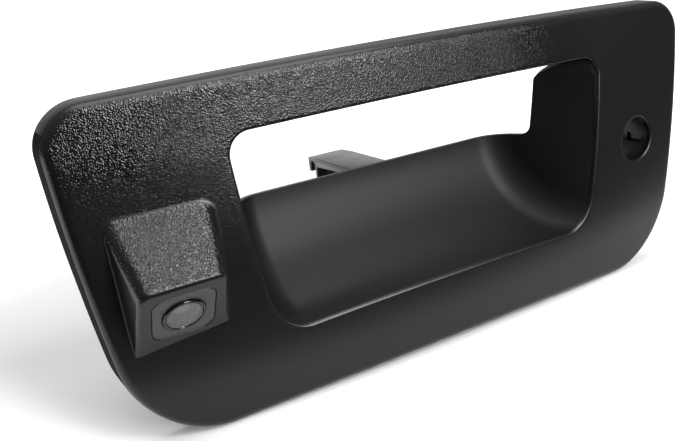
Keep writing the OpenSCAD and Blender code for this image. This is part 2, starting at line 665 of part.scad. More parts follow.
module bezel_fittings() {
    lock_collar();
    arm();
    ribs();
    for (p = blades) blade_at(p);
    for (s = bracket_screws_at) rod(-camera_x, s[0], boss_r, face_y([camera_x, s[0]]) + bury, s[1]);
}
module bezel_cuts() {
    for (s = bracket_screws_at) rod(-camera_x, s[0], screw_d / 2 + thread_gap, s[1] - 4, s[1] + 1);
    at_camera() plate(camera_w + 2 * gap, camera_h + 2 * gap, camera_corner_r + gap, -3, wedge_wall + 1);
    lock_bore();
}
module handle_bezel() color(plastic) difference() {
    union() {
        difference() {
            union() {
                ring_tube(shell_rings);
                wedge_outside();
            }
            wedge_inside();
        }
        union() bezel_fittings();
    }
    union() bezel_cuts();
}

// A folded steel clip over each blade: an inner leg, and a sprung wing that bulges on each side
clip_in = blade_t / 2 + thread_gap;
clip_w = 10;
wing = 3.2;
module clip_half() polygon([[blade_y + thread_gap, 0], [blade_y + thread_gap, clip_in], [3, clip_in],
    [3, clip_in + clip_t], [blade_y - 1.2, clip_in + clip_t], [window_y, clip_in + wing - clip_t],
    [2.2, clip_in + 1.8], [1.8, clip_in + 1.8 + clip_t], [window_y, clip_in + wing],
    [blade_y + 0.2, clip_in + clip_t],
    [blade_y + thread_gap + clip_t, clip_in], [blade_y + thread_gap + clip_t, 0]]);
module spring_clips() color(steel) for (p = blades) translate([p.x, 0, p.y]) along_x(clip_w) {
    clip_half();
    mirror([0, 1]) clip_half();
}

handle_bezel();
camera_front_cover();
cover_gasket();
lens_trim_ring();
lens_window();
lens_barrel();
lens_retainer();
front_lens();
lens_spacer();
middle_lens();
rear_lens();
ir_filter();
lens_holder();
sensor_glass();
image_sensor();
camera_board();
board_components();
board_connector();
housing_seal();
camera_housing();
housing_screws();
cable_gland();
camera_bracket();
bracket_screws();
spring_clips();
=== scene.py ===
"""Tailgate handle bezel with a small backup camera, dressed for rendering.

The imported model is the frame: X to the right, Y into the tailgate, Z up, in metres. Each operator
makes one piece or one group of like pieces round that frame.
"""

import math

import bmesh
import bpy
import numpy as np
from bpy.props import FloatProperty, FloatVectorProperty, PointerProperty
from mathutils import Matrix, Vector


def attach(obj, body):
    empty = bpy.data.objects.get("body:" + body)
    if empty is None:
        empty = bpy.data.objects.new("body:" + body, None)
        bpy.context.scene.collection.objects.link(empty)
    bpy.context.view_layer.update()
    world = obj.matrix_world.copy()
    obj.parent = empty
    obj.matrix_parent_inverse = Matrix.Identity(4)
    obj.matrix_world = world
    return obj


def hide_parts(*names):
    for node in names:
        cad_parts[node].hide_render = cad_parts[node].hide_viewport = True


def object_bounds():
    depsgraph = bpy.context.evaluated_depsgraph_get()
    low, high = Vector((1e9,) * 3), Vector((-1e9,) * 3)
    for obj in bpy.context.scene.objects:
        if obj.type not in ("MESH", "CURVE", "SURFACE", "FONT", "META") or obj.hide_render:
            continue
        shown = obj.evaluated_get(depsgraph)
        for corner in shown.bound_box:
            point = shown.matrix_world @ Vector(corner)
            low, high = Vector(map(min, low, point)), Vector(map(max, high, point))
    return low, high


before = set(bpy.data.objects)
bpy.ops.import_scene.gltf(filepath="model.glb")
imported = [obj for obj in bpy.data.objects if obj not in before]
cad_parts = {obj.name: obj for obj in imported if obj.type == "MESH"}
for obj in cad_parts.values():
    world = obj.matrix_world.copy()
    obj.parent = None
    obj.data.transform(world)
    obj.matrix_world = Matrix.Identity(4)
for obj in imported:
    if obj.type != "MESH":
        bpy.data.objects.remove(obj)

bl_info = {
    "name": "Tailgate Handle Bezel",
    "version": (1, 0, 0),
    "blender": (4, 5, 0),
    "location": "3D View > Sidebar > Bezel",
    "description": "A moulded tailgate handle bezel with a backup camera in its face",
    "category": "Add Mesh",
}

MM = 0.001
CREASE = 35  # degrees; a sharper edge of a plain piece is rounded and stays crisp
CAD_BOX = [list(corner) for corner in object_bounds()]


def linear(text):
    """An sRGB hex colour as linear red, green and blue."""
    parts = [int(text[i : i + 2], 16) / 255 for i in (1, 3, 5)]
    return [c / 12.92 if c <= 0.04045 else ((c + 0.055) / 1.055) ** 2.4 for c in parts]


def length(name, description, millimetres):
    """A length property, given in millimetres and kept in metres."""
    return FloatProperty(
        name=name, description=description, default=millimetres * MM, unit="LENGTH", precision=4
    )


def colour(name, description, text):
    """A colour property from a hex colour."""
    return FloatVectorProperty(
        name=name, description=description, default=linear(text), subtype="COLOR", size=3, min=0, max=1
    )


# --- Sizes and colours ---


class BezelSizes(bpy.types.PropertyGroup):
    """The moulded bezel."""

    width: length("Width", "Width of the bezel across its top corners", 341.6)
    height: length("Height", "Height of the bezel", 148.2)
    depth: length("Depth", "Depth of the shell from the middle of the face to the rear rim", 17)
    wall: length("Wall", "Thickness of the moulded walls", 2.8)
    side_taper: length("Side taper", "How far each side comes in from top to bottom", 16)
    side_belly: length("Side belly", "How far each side bulges outwards", 3.5)
    edge_bow: length("Top bow", "How far the top edge drops towards the corners", 3.2)
    foot_bow: length("Foot bow", "How far the bottom edge drops towards the corners", 3.8)
    bow_across: length("Sweep across", "How far the face sweeps back at the sides", 8)
    bow_up: length("Sweep up", "How far the face sweeps back at the top and bottom", 2.5)
    top_corner: length("Upper corner radius", "Radius of the two upper corners", 19)
    bottom_corner: length("Lower corner radius", "Radius of the two lower corners", 41)
    draft: length("Draft", "How far the side wall splays out towards the rim", 0.8)
    edge: length("Edge radius", "Radius between the face and the side wall", 4)
    open_width: length("Opening width", "Width of the hand opening across its top", 204)
    open_height: length("Opening height", "Height of the hand opening", 89)
    open_middle: length("Opening middle", "Height of the opening's middle", 6.5)
    open_taper: length("Opening taper", "How far the opening's sides come in", 10.5)
    open_belly: length("Opening belly", "How far the opening's sides bulge", 1.75)
    open_droop: length("Opening droop", "How far the opening's long edges droop", 1.9)
    open_high: length("Opening upper radius", "Radius of the opening's upper corners", 10)
    open_low: length("Opening lower radius", "Radius of the opening's lower corners", 17)
    open_edge: length("Opening edge", "Radius between the face and the opening", 1.6)
    cup_depth: length("Cup depth", "Depth of the cup's back behind the rim", 38)
    cup_height: length("Cup height", "Height of the cup's back", 9)
    right_corner: length("Right cup corner", "Radius of the cup's right upright corner", 19)
    left_corner: length("Left cup corner", "Radius of the cup's left upright corner", 12)
    end_depth: length("End depth", "Depth at which the cup's ends are cut off", 17.5)
    end_radius: length("End radius", "Radius at the foot of that cut", 5)
    lock_across: length("Lock place", "Distance of the lock hole from the middle", 132)
    lock_diameter: length("Lock hole", "Diameter of the lock hole", 24)
    lock_depth: length("Lock collar", "Depth of the lock collar behind the rim", 14)
    lock_slot: length("Key slot", "Width of the slot in the collar's wall", 8)
    arm_width: length("Arm width", "Width of the rear arm", 23.5)
    arm_reach: length("Arm reach", "Distance of the arm's end behind the rim", 107.5)
    arm_height: length("Arm height", "Height of the arm's top", 4.5)
    arm_wall: length("Arm wall", "Thickness of the arm's top and webs", 2.4)
    arm_lip: length("Arm lip", "Depth of the lip at the arm's end", 9)


class CameraSizes(bpy.types.PropertyGroup):
    """The wedge on the face and the camera's front."""

    across: length("Place", "Distance of the camera from the middle", 134)
    foot: length("Foot", "Height of the lens face's lower edge below the middle", 28.7)
    tilt: FloatProperty(
        name="Tilt", description="Tilt of the lens face from upright",
        default=math.radians(33), subtype="ANGLE",
    )
    face_length: length("Lens face length", "Length of the lens face along its slope", 36)
    face_width: length("Lens face width", "Width of the lens face at its upper edge", 35.6)
    foot_width: length("Foot width", "Width of the wedge at its lower edge", 40.6)
    crown_width: length("Crown width", "Width of the wedge where its top meets the face", 43.5)
    crown: length("Crown", "Height at which the wedge's top meets the face", 26.2)
    corner: length("Wedge corner", "Radius of the wedge's upper corners", 5)
    edge: length("Wedge edge", "Radius of the edge round the lens face", 2.4)
    wall: length("Wedge wall", "Thickness of the wedge's wall", 2.4)
    front_width: length("Front width", "Width of the camera's front", 26)
    front_height: length("Front height", "Height of the camera's front", 25)
    front_corner: length("Front corner", "Corner radius of the camera's front", 5)
    axis_up: length("Axis", "Distance of the lens axis above the foot", 17)
    body_length: length("Camera length", "Length of the camera behind the lens face", 22)
    ring: length("Ring", "Outer diameter of the glossy ring", 17.8)
    window: length("Window", "Diameter of the lens window", 15.4)
    ring_proud: length("Ring height", "How far the ring stands out", 0.8)
    gap: length("Gap", "Clearance round pieces that fit in one another", 0.15)


class Finishes(bpy.types.PropertyGroup):
    """Colours and the grain of the moulding."""

    plastic: colour("Bezel plastic", "Black moulded plastic of the bezel", "#121213")
    # This grey is lighter than the bezel's black so that the camera's down-facing front carries a painted
    # reflection of the white floor.
    camera: colour("Camera plastic", "Plastic of the camera's front and housing", "#424244")
    ring: colour("Ring", "Glossy ring round the window", "#0b0b0d")
    rubber: colour("Rubber", "Seals and the lead's gland", "#1d1d1e")
    zinc: colour("Zinc", "Zinc plated bracket and screws", "#b4b8ba")
    spring: colour("Spring steel", "Phosphated clips", "#3b3d40")
    grain: length("Grain", "Width of one grain in the moulded face", 0.66)
    floor: colour("Floor", "Floor under the bezel", "#f4f4f4")


# --- Meshes ---


def mix(a, b, t):
    return a + (b - a) * t


def between(first, last, steps):
    """Even steps from first to last, without the first."""
    return [mix(first, last, k / steps) for k in range(1, steps + 1)]


def columns(*values):
    """Points from their coordinates, each given for all of them together."""
    return np.stack(values, 1)


def run(start, end, steps):
    """Evenly spaced points from start up to, and without, end."""
    start, end = np.array(start, float), np.array(end, float)
    return [mix(start, end, i / steps) for i in range(steps)]


def arc(middle, radius, first, steps):
    """A quarter turn from the angle first, without its last point."""
    angles = [math.radians(first + 90 * i / steps) for i in range(steps)]
    return [np.array([middle[0] + radius * math.cos(a), middle[1] + radius * math.sin(a)]) for a in angles]


def quarter(steps):
    """The angles of a quarter turn, with both its ends."""
    return [math.radians(90 * k / steps) for k in range(steps + 1)]


def round_edge(radius, steps=4):
    """How far in and down each step of a rounded edge lies, from its top to its side."""
    return [(radius * (1 - math.sin(a)), radius * (1 - math.cos(a))) for a in quarter(steps)]


def whole(half):
    """The whole loop from its right half, which runs from the bottom middle to the top middle."""
    half = np.array(half)
    left = half[-2:0:-1].copy()
    left[:, 0] *= -1
    return np.concatenate([half, left])


def rounded(half_width, low, high, low_radius, high_radius, steps, grow=0.0):
    """A rounded rectangle grown by this much all round, with steps = (across, corner, up)."""
    across, corner, up = steps
    half_width, low, high = half_width + grow, low - grow, high + grow
    low_radius, high_radius = low_radius + grow, high_radius + grow
    side_low, side_high = half_width - low_radius, half_width - high_radius
    return whole(
        run((0, low), (side_low, low), across)
        + arc((side_low, low + low_radius), low_radius, 270, corner)
        + run((half_width, low + low_radius), (half_width, high - high_radius), up)
        + arc((side_high, high - high_radius), high_radius, 0, corner)
        + run((side_high, high), (0, high), across)
        + [np.array([0.0, high])]
    )


def grid_faces(rings, points, closed):
    """Quads between rings of points, the last ring joined to the first if closed."""
    faces = []
    for j in range(rings if closed else rings - 1):
        k = (j + 1) % rings
        for i in range(points):
            n = (i + 1) % points
            faces.append((j * points + i, k * points + i, k * points + n, j * points + n))
    return faces


def linked(name, data):
    """A new object of the scene."""
    obj = bpy.data.objects.new(name, data)
    bpy.context.scene.collection.objects.link(obj)
    return obj


def new_object(name, points, faces):
    mesh = bpy.data.meshes.new(name)
    mesh.from_pydata([tuple(p) for p in points], [], faces)
    mesh.validate()
    obj = linked(name, mesh)
    outwards(obj)
    return obj


def outwards(obj):
    """Turns every face of a closed mesh outwards."""
    bm = bmesh.new()
    bm.from_mesh(obj.data)
    bmesh.ops.recalc_face_normals(bm, faces=bm.faces)
    if bm.calc_volume(signed=True) < 0:
        bmesh.ops.reverse_faces(bm, faces=bm.faces)
    bm.to_mesh(obj.data)
    bm.free()


def tube(name, rings):
    """A closed skin of rings that meets itself again."""
    count = len(rings[0])
    return new_object(name, np.concatenate(rings), grid_faces(len(rings), count, True))


def stack(name, rings):
    """A skin of rings with a flat cap at each end."""
    count = len(rings[0])
    faces = grid_faces(len(rings), count, False)
    last = (len(rings) - 1) * count
    faces.append(tuple(reversed(range(count))))
    faces.append(tuple(range(last, last + count)))
    return new_object(name, np.concatenate(rings), faces)


def circles(profile, steps, first=0.0):
    """A ring about Z for each (radius, height) of a profile, from the angle first."""
    angles = first + np.arange(steps) * 2 * math.pi / steps
    return [
        columns(radius * np.cos(angles), radius * np.sin(angles), np.full(steps, height))
        for radius, height in profile
    ]


def turned(name, profile, steps=96):
    """A closed profile of (radius, height) turned about Z. It doesn't touch the axis."""
    return tube(name, circles(profile, steps))


def domed(name, profile, steps=96):
    """An open profile of (radius, height) turned about Z, closed by flat ends."""
    return stack(name, circles(profile, steps))


def inwards_at(obj, x, y=0.0, z=0.0, slope=0.0):
    """Turns a piece made about Z to point into the tailgate, at a place on the bezel."""
    turn = Matrix.Rotation(slope, 4, "Z") @ Matrix.Rotation(-math.pi / 2, 4, "X")
    obj.data.transform(Matrix.Translation((x, y, z)) @ turn)


def along_x(name, outline, middle, width):
    """A flat outline of (y, z) points made width thick about x = middle."""
    rings = [np.array([[middle + side * width / 2, y, z] for y, z in outline]) for side in (-1, 1)]
    return stack(name, rings)


def slab(name, low, high):
    """A box from its lowest to its highest corner, for cutting and for ribs."""
    outline = [(low[1], low[2]), (high[1], low[2]), (high[1], high[2]), (low[1], high[2])]
    return along_x(name, outline, (low[0] + high[0]) / 2, high[0] - low[0])


def settle(obj):
    """Replaces the mesh by what its modifiers make of it."""
    shape = bpy.data.meshes.new_from_object(obj.evaluated_get(bpy.context.evaluated_depsgraph_get()))
    old = obj.data
    obj.modifiers.clear()
    obj.data = shape
    shape.name = obj.name
    bpy.data.meshes.remove(old)


def cut(obj, *tools):
    """Cuts the tools out of obj and throws them away."""
    for tool in tools:
        step = obj.modifiers.new("cut", "BOOLEAN")
        step.operation = "DIFFERENCE"
        step.solver = "EXACT"
        step.object = tool
    bpy.context.view_layer.update()
    settle(obj)
    for tool in tools:
        bpy.data.objects.remove(tool)


def soften(obj, width):
    """Rounds the edges of a plain solid that are sharper than CREASE degrees."""
    bm = bmesh.new()
    bm.from_mesh(obj.data)
    bmesh.ops.remove_doubles(bm, verts=bm.verts, dist=1e-6)
    bmesh.ops.dissolve_limit(bm, angle_limit=math.radians(1), verts=bm.verts, edges=bm.edges)
    bm.to_mesh(obj.data)
    bm.free()
    step = obj.modifiers.new("soften", "BEVEL")
    step.width = width
    step.segments = 2
    step.limit_method = "ANGLE"
    step.angle_limit = math.radians(CREASE)
    step.harden_normals = False
    settle(obj)


def smooth(obj, angle=30):
    """Smooth shading, with edges sharper than angle left crisp."""
    obj.data.shade_smooth()
    obj.data.set_sharp_from_angle(angle=math.radians(angle))


def gather(name, objects):
    """Joins objects into one, as separate shells of one mesh."""
    bm = bmesh.new()
    for obj in objects:
        obj.data.transform(obj.matrix_world)
        bm.from_mesh(obj.data)
    joined = new_object(name, [], [])
    bm.to_mesh(joined.data)
    bm.free()
    for obj in objects:
        bpy.data.objects.remove(obj)
    return joined


def finish_piece(obj, material, slot, *nodes):
    """Gives a piece its material, seats it on the body and hides the solids it stands for. Its slot is not
    used.
    """
    obj.data.materials.clear()
    obj.data.materials.append(material)
    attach(obj, "root")
    if nodes:
        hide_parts(*nodes)
    return obj


def softened_node(node, name, width, material, slot):
    """A copy of a solid with its sharp edges rounded, in place of the solid."""
    copy = linked(name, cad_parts[node].data.copy())
    soften(copy, width)
    smooth(copy, CREASE)
    return finish_piece(copy, material, slot, node)


# --- The bezel's form ---

STEPS = 4  # finer than the solid by this much
ACROSS = CORNER = UP = 8 * STEPS  # steps of half a long edge, of a corner and of a side
LEG, FOOT = STEPS, 3 * STEPS  # steps of the level run and the rounded foot of the cup's cut ends
RISE = UP - LEG - FOOT
EDGE_RINGS, FACE_RINGS, MOUTH_RINGS = 12, 22, 8  # round the edge, over the face, round the opening
CUP_RINGS, BACK_RINGS, INNER_RINGS = 32, 24, 16  # down the cup, up its back, behind the face


class BezelForm:
    """The curves of the moulded shell, from the sizes."""

    END_TOP = 12.5 * MM  # how far below the opening's top the cup's ends stop
    LIP = 1.5 * MM  # how far the upper lip lies inside the opening and before the rim
    RIGHT_TAPER, LEFT_TAPER = 0.5, 0.3  # how fast the cup's ends come in with depth

    def __init__(self, sizes):
        self.s = sizes
        self.half_w = sizes.width / 2
        self.half_h = sizes.height / 2
        self.open_half = sizes.open_width / 2
        self.open_bottom = sizes.open_middle - sizes.open_height / 2
        self.open_top = sizes.open_middle + sizes.open_height / 2
        self.mouth_ring = self.opening(0)
        self.lip_corner = self.mouth_ring[ACROSS + 2 * CORNER + UP]

    def face_y(self, x, z):
        s = self.s
        return -s.depth + s.bow_across * (x / self.half_w) ** 2 + s.bow_up * (z / self.half_h) ** 2

    def rim_y(self, x):
        return self.s.bow_across * (x / self.half_w) ** 2

    def on_face(self, ring, depth=0.0):
        x, z = ring.T
        return columns(x, self.face_y(x, z) + depth, z)

    def on_rim(self, ring, depth=0.0):
        x, z = ring.T
        return columns(x, self.rim_y(x) - depth, z)

    def side_in(self, s, taper, belly):
        return taper * (1 - s) / 2 - belly * (1 - s * s)

    def outline(self, inwards):
        s = self.s
        corners = s.bottom_corner, s.top_corner
        ring = rounded(self.half_w, -self.half_h, self.half_h, *corners, (ACROSS, CORNER, UP), -inwards)
        x, z = ring.T
        narrow = 1 - self.side_in(z / self.half_h, s.side_taper, s.side_belly) / self.half_w
        bow = np.where(z > 0, -s.edge_bow, s.foot_bow) / self.half_h * (x / self.half_w) ** 2
        return columns(x * narrow, z * (1 + bow))

    def open_share(self, z):
        return (z - self.s.open_middle) / (self.s.open_height / 2)

    def open_side(self, z):
        return self.open_half - self.side_in(self.open_share(z), self.s.open_taper, self.s.open_belly)

    def opening(self, grow):
        s = self.s
        sides = self.open_half, self.open_bottom, self.open_top
        ring = rounded(*sides, s.open_low, s.open_high, (ACROSS, CORNER, UP), grow)
        x, z = ring.T
        droop = s.open_droop * (x / self.open_half) ** 2 * (1 - self.open_share(z) / 3)
        return columns(x * self.open_side(z) / self.open_half, z - droop)

    def cup_edge_half(self, taper, radius):
        s = self.s
        low_y, high_y = s.end_depth + 1 * MM, s.end_depth
        high_z = self.open_top - self.END_TOP
        lip_y, lip_z = -self.LIP, self.lip_corner[1] - self.LIP

        def end_x(y, z):
            return self.open_side(z) - taper * (y - self.face_y(self.open_half, z))

        turn = math.atan(1 / taper)
        y1 = s.cup_depth - radius * (1 - math.cos(turn))
        x0 = end_x(y1, s.cup_height) - radius * math.sin(turn)
        points = run((0, s.cup_depth, s.cup_height), (x0, s.cup_depth, s.cup_height), ACROSS)
        for a in [turn * i / CORNER for i in range(CORNER)]:
            y = s.cup_depth - radius * (1 - math.cos(a))
            points.append((x0 + radius * math.sin(a), y, s.cup_height))
        foot_y, foot_z = low_y + s.end_radius, s.cup_height + s.end_radius
        end = [(mix(y1, foot_y, i / LEG), s.cup_height) for i in range(LEG)]
        end += [(low_y + y, s.cup_height + z) for y, z in round_edge(s.end_radius, FOOT)[:-1]]
        end += [(mix(low_y, high_y, i / RISE), mix(foot_z, high_z, i / RISE)) for i in range(RISE)]
        points += [(end_x(y, z), y, z) for y, z in end]
        top_x = end_x(high_y, high_z)
        for a in quarter(CORNER)[:-1]:
            share = 1 - math.cos(a) ** 2.5
            x, y = mix(top_x, self.lip_corner[0], share), mix(high_y, lip_y, share)
            points.append((x, y, mix(high_z, lip_z, math.sin(a))))
        lip = self.mouth_ring[ACROSS + 2 * CORNER + UP :][: ACROSS + 1]
        points += [(x, lip_y, z - self.LIP) for x, z in lip]
        return np.array(points)

    def cup_edge(self):
        right = self.cup_edge_half(self.RIGHT_TAPER, self.s.right_corner)
        left = self.cup_edge_half(self.LEFT_TAPER, self.s.left_corner)[-2:0:-1].copy()
        left[:, 0] *= -1
        return np.concatenate([right, left])

    def shell_rings(self):
        """The rings of the whole section, from the rim over the face, the cup and its back again."""
        s = self.s
        mouth = self.on_face(self.mouth_ring, s.open_edge)
        edge = self.cup_edge()
        place = np.arange(len(edge))
        nearer = np.minimum(place, len(edge) - place)
        fade = LEG + FOOT  # the floor's bend dies out over these steps
        bend = np.clip((ACROSS + CORNER + fade - nearer) / fade, 0, 1)
        first = ACROSS + CORNER + UP
        corner = (nearer > first) & (nearer < first + CORNER)
        facing = np.where(place < len(edge) / 2, 1, -1)[corner]
        round_corner = np.radians(90 * (nearer[corner] - first) / CORNER)[:, None]

        def cup(t):
            turn = np.radians(90 * t) * np.ones(len(edge))
            rise = np.sin(turn)
            points = mix(mouth, edge, rise[:, None])
            points[:, 2] = mix(mouth[:, 2], edge[:, 2], mix(rise, 1 - np.cos(turn), bend))
            return points

        def cup_normal(t):
            step = 0.02
            along = cup(np.minimum(1, t + step)) - cup(t - step)
            here = cup(t)
            spread = np.roll(here, -STEPS, 0) - np.roll(here, STEPS, 0)
            normal = np.cross(along, spread)
            normal /= np.linalg.norm(normal, axis=1, keepdims=True)
            # In the top corners it turns evenly from the end wall's side to the lip's
            between = np.cos(round_corner) * normal[facing * first]
            between += np.sin(round_corner) * normal[facing * (first + CORNER)]
            normal[corner] = between / np.linalg.norm(between, axis=1, keepdims=True)
            return normal

        rings = [self.on_rim(self.outline(-s.draft))]
        low, high = rings[0], self.on_face(self.outline(0), s.edge)
        rings += [mix(low, high, t) for t in (0.03, 0.3, 0.6, 0.9)]
        turn = round_edge(s.edge, EDGE_RINGS)
        rings += [self.on_face(self.outline(inwards), down) for down, inwards in turn]
        outer, inner = self.outline(s.edge), self.opening(s.open_edge)
        rings += [self.on_face(ring) for ring in between(outer, inner, FACE_RINGS)]
        turn = round_edge(s.open_edge, MOUTH_RINGS)[1:]
        rings += [self.on_face(self.opening(out), down) for out, down in turn]
        rings += [cup(t) for t in between(0, 1, CUP_RINGS)]
        # The back of the cup ends where it meets the inner skin of the face
        shallow = np.arcsin(np.minimum(0.8, 1.4 * s.wall / (edge[:, 1] - mouth[:, 1]))) / math.radians(90)
        for t in (1.0, *between(1.0, shallow, BACK_RINGS)):
            rings.append(cup(t) + s.wall * cup_normal(t))
        outer, inner = self.opening(s.wall), self.outline(s.wall)
        rings += [self.on_face(ring, s.wall) for ring in (outer, *between(outer, inner, INNER_RINGS))]
        low, high = rings[-1], self.on_rim(self.outline(s.wall - s.draft))
        rings += [mix(low, high, t) for t in (0.33, 0.66, 0.97, 1)]
        return rings


def lens_frame(form, camera):
    """The frame on the lens axis: X across, Y up the lens face, Z out of it."""
    foot_y = form.face_y(camera.across, camera.foot)
    middle = Vector(
        (
            -camera.across,
            foot_y - camera.axis_up * math.sin(camera.tilt),
            camera.axis_up * math.cos(camera.tilt) - camera.foot,
        )
    )
    return Matrix.Translation(middle) @ Matrix.Rotation(math.pi / 2 + camera.tilt, 4, "X")


class WedgeForm:
    """The curves of the wedge that carries the camera."""

    STEPS = (14, 10, 18)
    SINK = 1 * MM  # how far its foot lies below the face
    FILLET = 1.6 * MM
    MOUTH = 0.4 * MM  # radius of the pocket's edge
    PROUD = 0.02 * MM  # how far the fillet's foot stands out of the face

    def __init__(self, form, camera):
        self.form = form
        self.c = camera
        self.foot_y = form.face_y(camera.across, camera.foot)
        self.rise = camera.crown + camera.foot

    def on_lens(self, p, q, depth):
        tilt = self.c.tilt
        return columns(
            p - self.c.across,
            self.foot_y - q * math.sin(tilt) + depth * math.cos(tilt),
            q * math.cos(tilt) + depth * math.sin(tilt) - self.c.foot,
        )

    def foot_q(self, p):
        face = self.form.face_y(p - self.c.across, self.c.foot)
        return (self.foot_y - face - self.SINK) / math.sin(self.c.tilt)

    def ring(self, inwards, low, high, top_width):
        c = self.c
        corner = max(1 * MM, c.corner - inwards)
        half = c.foot_width / 2 - inwards
        ring = rounded(half, low, high - inwards, 1 * MM, corner, self.STEPS)
        share = (ring[:, 1] - low) / (high - low)
        ring[:, 0] *= mix(1.0, top_width / c.foot_width, share)
        return ring

    def base(self, depth):
        ring = self.ring(0, 0, self.rise, self.c.crown_width)
        share = ring[:, 1] / self.rise
        drop = (self.foot_q(ring[:, 0]) * math.cos(self.c.tilt) - self.SINK) * (1 - share)
        flat = columns(ring[:, 0] - self.c.across, ring[:, 1] + drop - self.c.foot)
        return self.form.on_face(flat, depth)

    def front(self, inwards, down):
        p, q = self.ring(inwards, 0, self.c.face_length, self.c.face_width).T
        share = q / self.c.face_length
        return self.on_lens(p, q + self.foot_q(p) * (1 - share), down * np.minimum(1, 4 * share))

    def pocket(self, grow, depth):
        c = self.c
        low, high = c.axis_up - c.front_height / 2, c.axis_up + c.front_height / 2
        corners = c.front_corner, c.front_corner
        ring = rounded(c.front_width / 2, low, high, *corners, self.STEPS, c.gap + grow)
        return self.on_lens(*ring.T, depth)

    def inside_front(self, depth):
        c = self.c
        ring = self.ring(c.wall, 1 * MM, c.face_length, c.face_width)
        return self.on_lens(*ring.T, depth)

    def inside_base(self, inwards, depth):
        c = self.c
        ring = self.ring(inwards, 1 * MM, self.rise, c.crown_width)
        return self.form.on_face(ring - (c.across, c.foot), depth)

    def skin_rings(self):
        """A closed section: foot fillet, sides, rounded edge, lens face, pocket and inner skin."""
        surface, start = self.base(0), self.front(0, self.c.edge)
        up = start - surface
        up /= np.maximum(1e-9, np.linalg.norm(up, axis=1, keepdims=True))
        along = np.roll(surface, -1, 0) - np.roll(surface, 1, 0)
        normal = np.tile([0.0, -1.0, 0.0], (len(surface), 1))
        away = np.cross(along, normal)
        away /= np.linalg.norm(away, axis=1, keepdims=True)
        middle = surface.mean(0)
        away *= np.sign(((surface - middle) * away).sum(1, keepdims=True))
        high = (surface[:, 2:] + self.c.foot) / self.rise
        fillet = self.FILLET * np.clip(high * 5, 0, 1)
        out = surface + fillet * away
        out = self.form.on_face(out[:, [0, 2]], -self.PROUD)
        rings = [self.form.on_face(out[:, [0, 2]], self.SINK)]
        for k in range(9):
            t = k / 8
            rings.append((1 - t) ** 2 * out + 2 * t * (1 - t) * surface + t * t * (surface + fillet * up))
        rings += between(rings[-1], start, 12)[:-1]
        rings += [self.front(inwards, down) for down, inwards in round_edge(self.c.edge, 9)]
        rings += between(rings[-1], self.pocket(self.MOUTH, 0), 6)[:-1]
        rings += [self.pocket(out, down) for out, down in round_edge(self.MOUTH, 6)]
        rings.append(self.pocket(0, self.c.wall))
        inner = self.inside_front(self.c.wall)
        rings += between(rings[-1], inner, 3)
        rings += between(inner, self.inside_base(self.c.wall, self.form.s.wall), 4)
        return rings


def camera_piece(obj, place, material, slot, *nodes, angle=30):
    """Seats a piece made round the lens axis, and dresses it."""
    obj.data.transform(place)
    smooth(obj, angle)
    return finish_piece(obj, material, slot, *nodes)


PLATE_STEPS = (8, 10, 8)  # across, corner, up
PLATE_POINTS = 4 * 8 + 4 * 10 + 2 * 8  # in one ring of these steps


def plate_rings(width, height, corner, levels):
    """Rings of a rounded plate about the lens axis, for levels of (inwards, height)."""
    rings = []
    for inwards, z in levels:
        flat = rounded(width / 2, -height / 2, height / 2, corner, corner, PLATE_STEPS, -inwards)
        rings.append(columns(*flat.T, np.full(len(flat), z)))
    return rings


# --- Materials ---


def add(tree, kind, links=None, **settings):
    """Adds a node, with its settings and the sockets that feed its inputs."""
    node = tree.nodes.new(kind)
    for key, value in settings.items():
        setattr(node, key, value)
    for key, value in (links or {}).items():
        if isinstance(value, bpy.types.NodeSocket):
            tree.links.new(value, node.inputs[key])
        else:
            node.inputs[key].default_value = value
    return node


def blank(name):
    """A new material with an empty tree."""
    material = bpy.data.materials.new(name)
    material.use_nodes = True
    material.node_tree.nodes.clear()
    return material, material.node_tree


def shade(tree, inputs):
    """The surface shader and the output."""
    shader = add(tree, "ShaderNodeBsdfPrincipled", inputs)
    add(tree, "ShaderNodeOutputMaterial", {"Surface": shader.outputs["BSDF"]})
    return shader


def rgba(values):
    return (*values, 1.0)


def scaled(values, factor):
    return rgba([min(1.0, v * factor) for v in values])


def per(millimetres):
    """The scale of a pattern whose cells are this wide, on coordinates in metres."""
    return 1 / (millimetres * MM)


def here(tree):
    """The place on the piece, in metres."""
    return add(tree, "ShaderNodeTexCoord").outputs["Object"]


def noise(tree, place, scale, detail, **settings):
    """The level of a noise pattern."""
    values = {"Vector": place, "Scale": scale, "Detail": detail}
    return add(tree, "ShaderNodeTexNoise", values | settings).outputs["Fac"]


def bump(tree, height, distance, strength):
    """The normal over a relief of this depth."""
    values = {"Height": height, "Distance": distance, "Strength": strength}
    return add(tree, "ShaderNodeBump", values).outputs["Normal"]


def tone(tree, level, values, dark, light):
    """The colour, from dark to light shares of itself."""
    links = {"Factor": level, 6: scaled(values, dark), 7: scaled(values, light)}
    return add(tree, "ShaderNodeMix", links, data_type="RGBA").outputs[2]


def spread(tree, level, low, high, start=0.0, end=1.0):
    """The level between start and end, brought to run from low to high."""
    values = {"Value": level, "From Min": start, "From Max": end, "To Min": low, "To Max": high}
    return add(tree, "ShaderNodeMapRange", values).outputs[0]


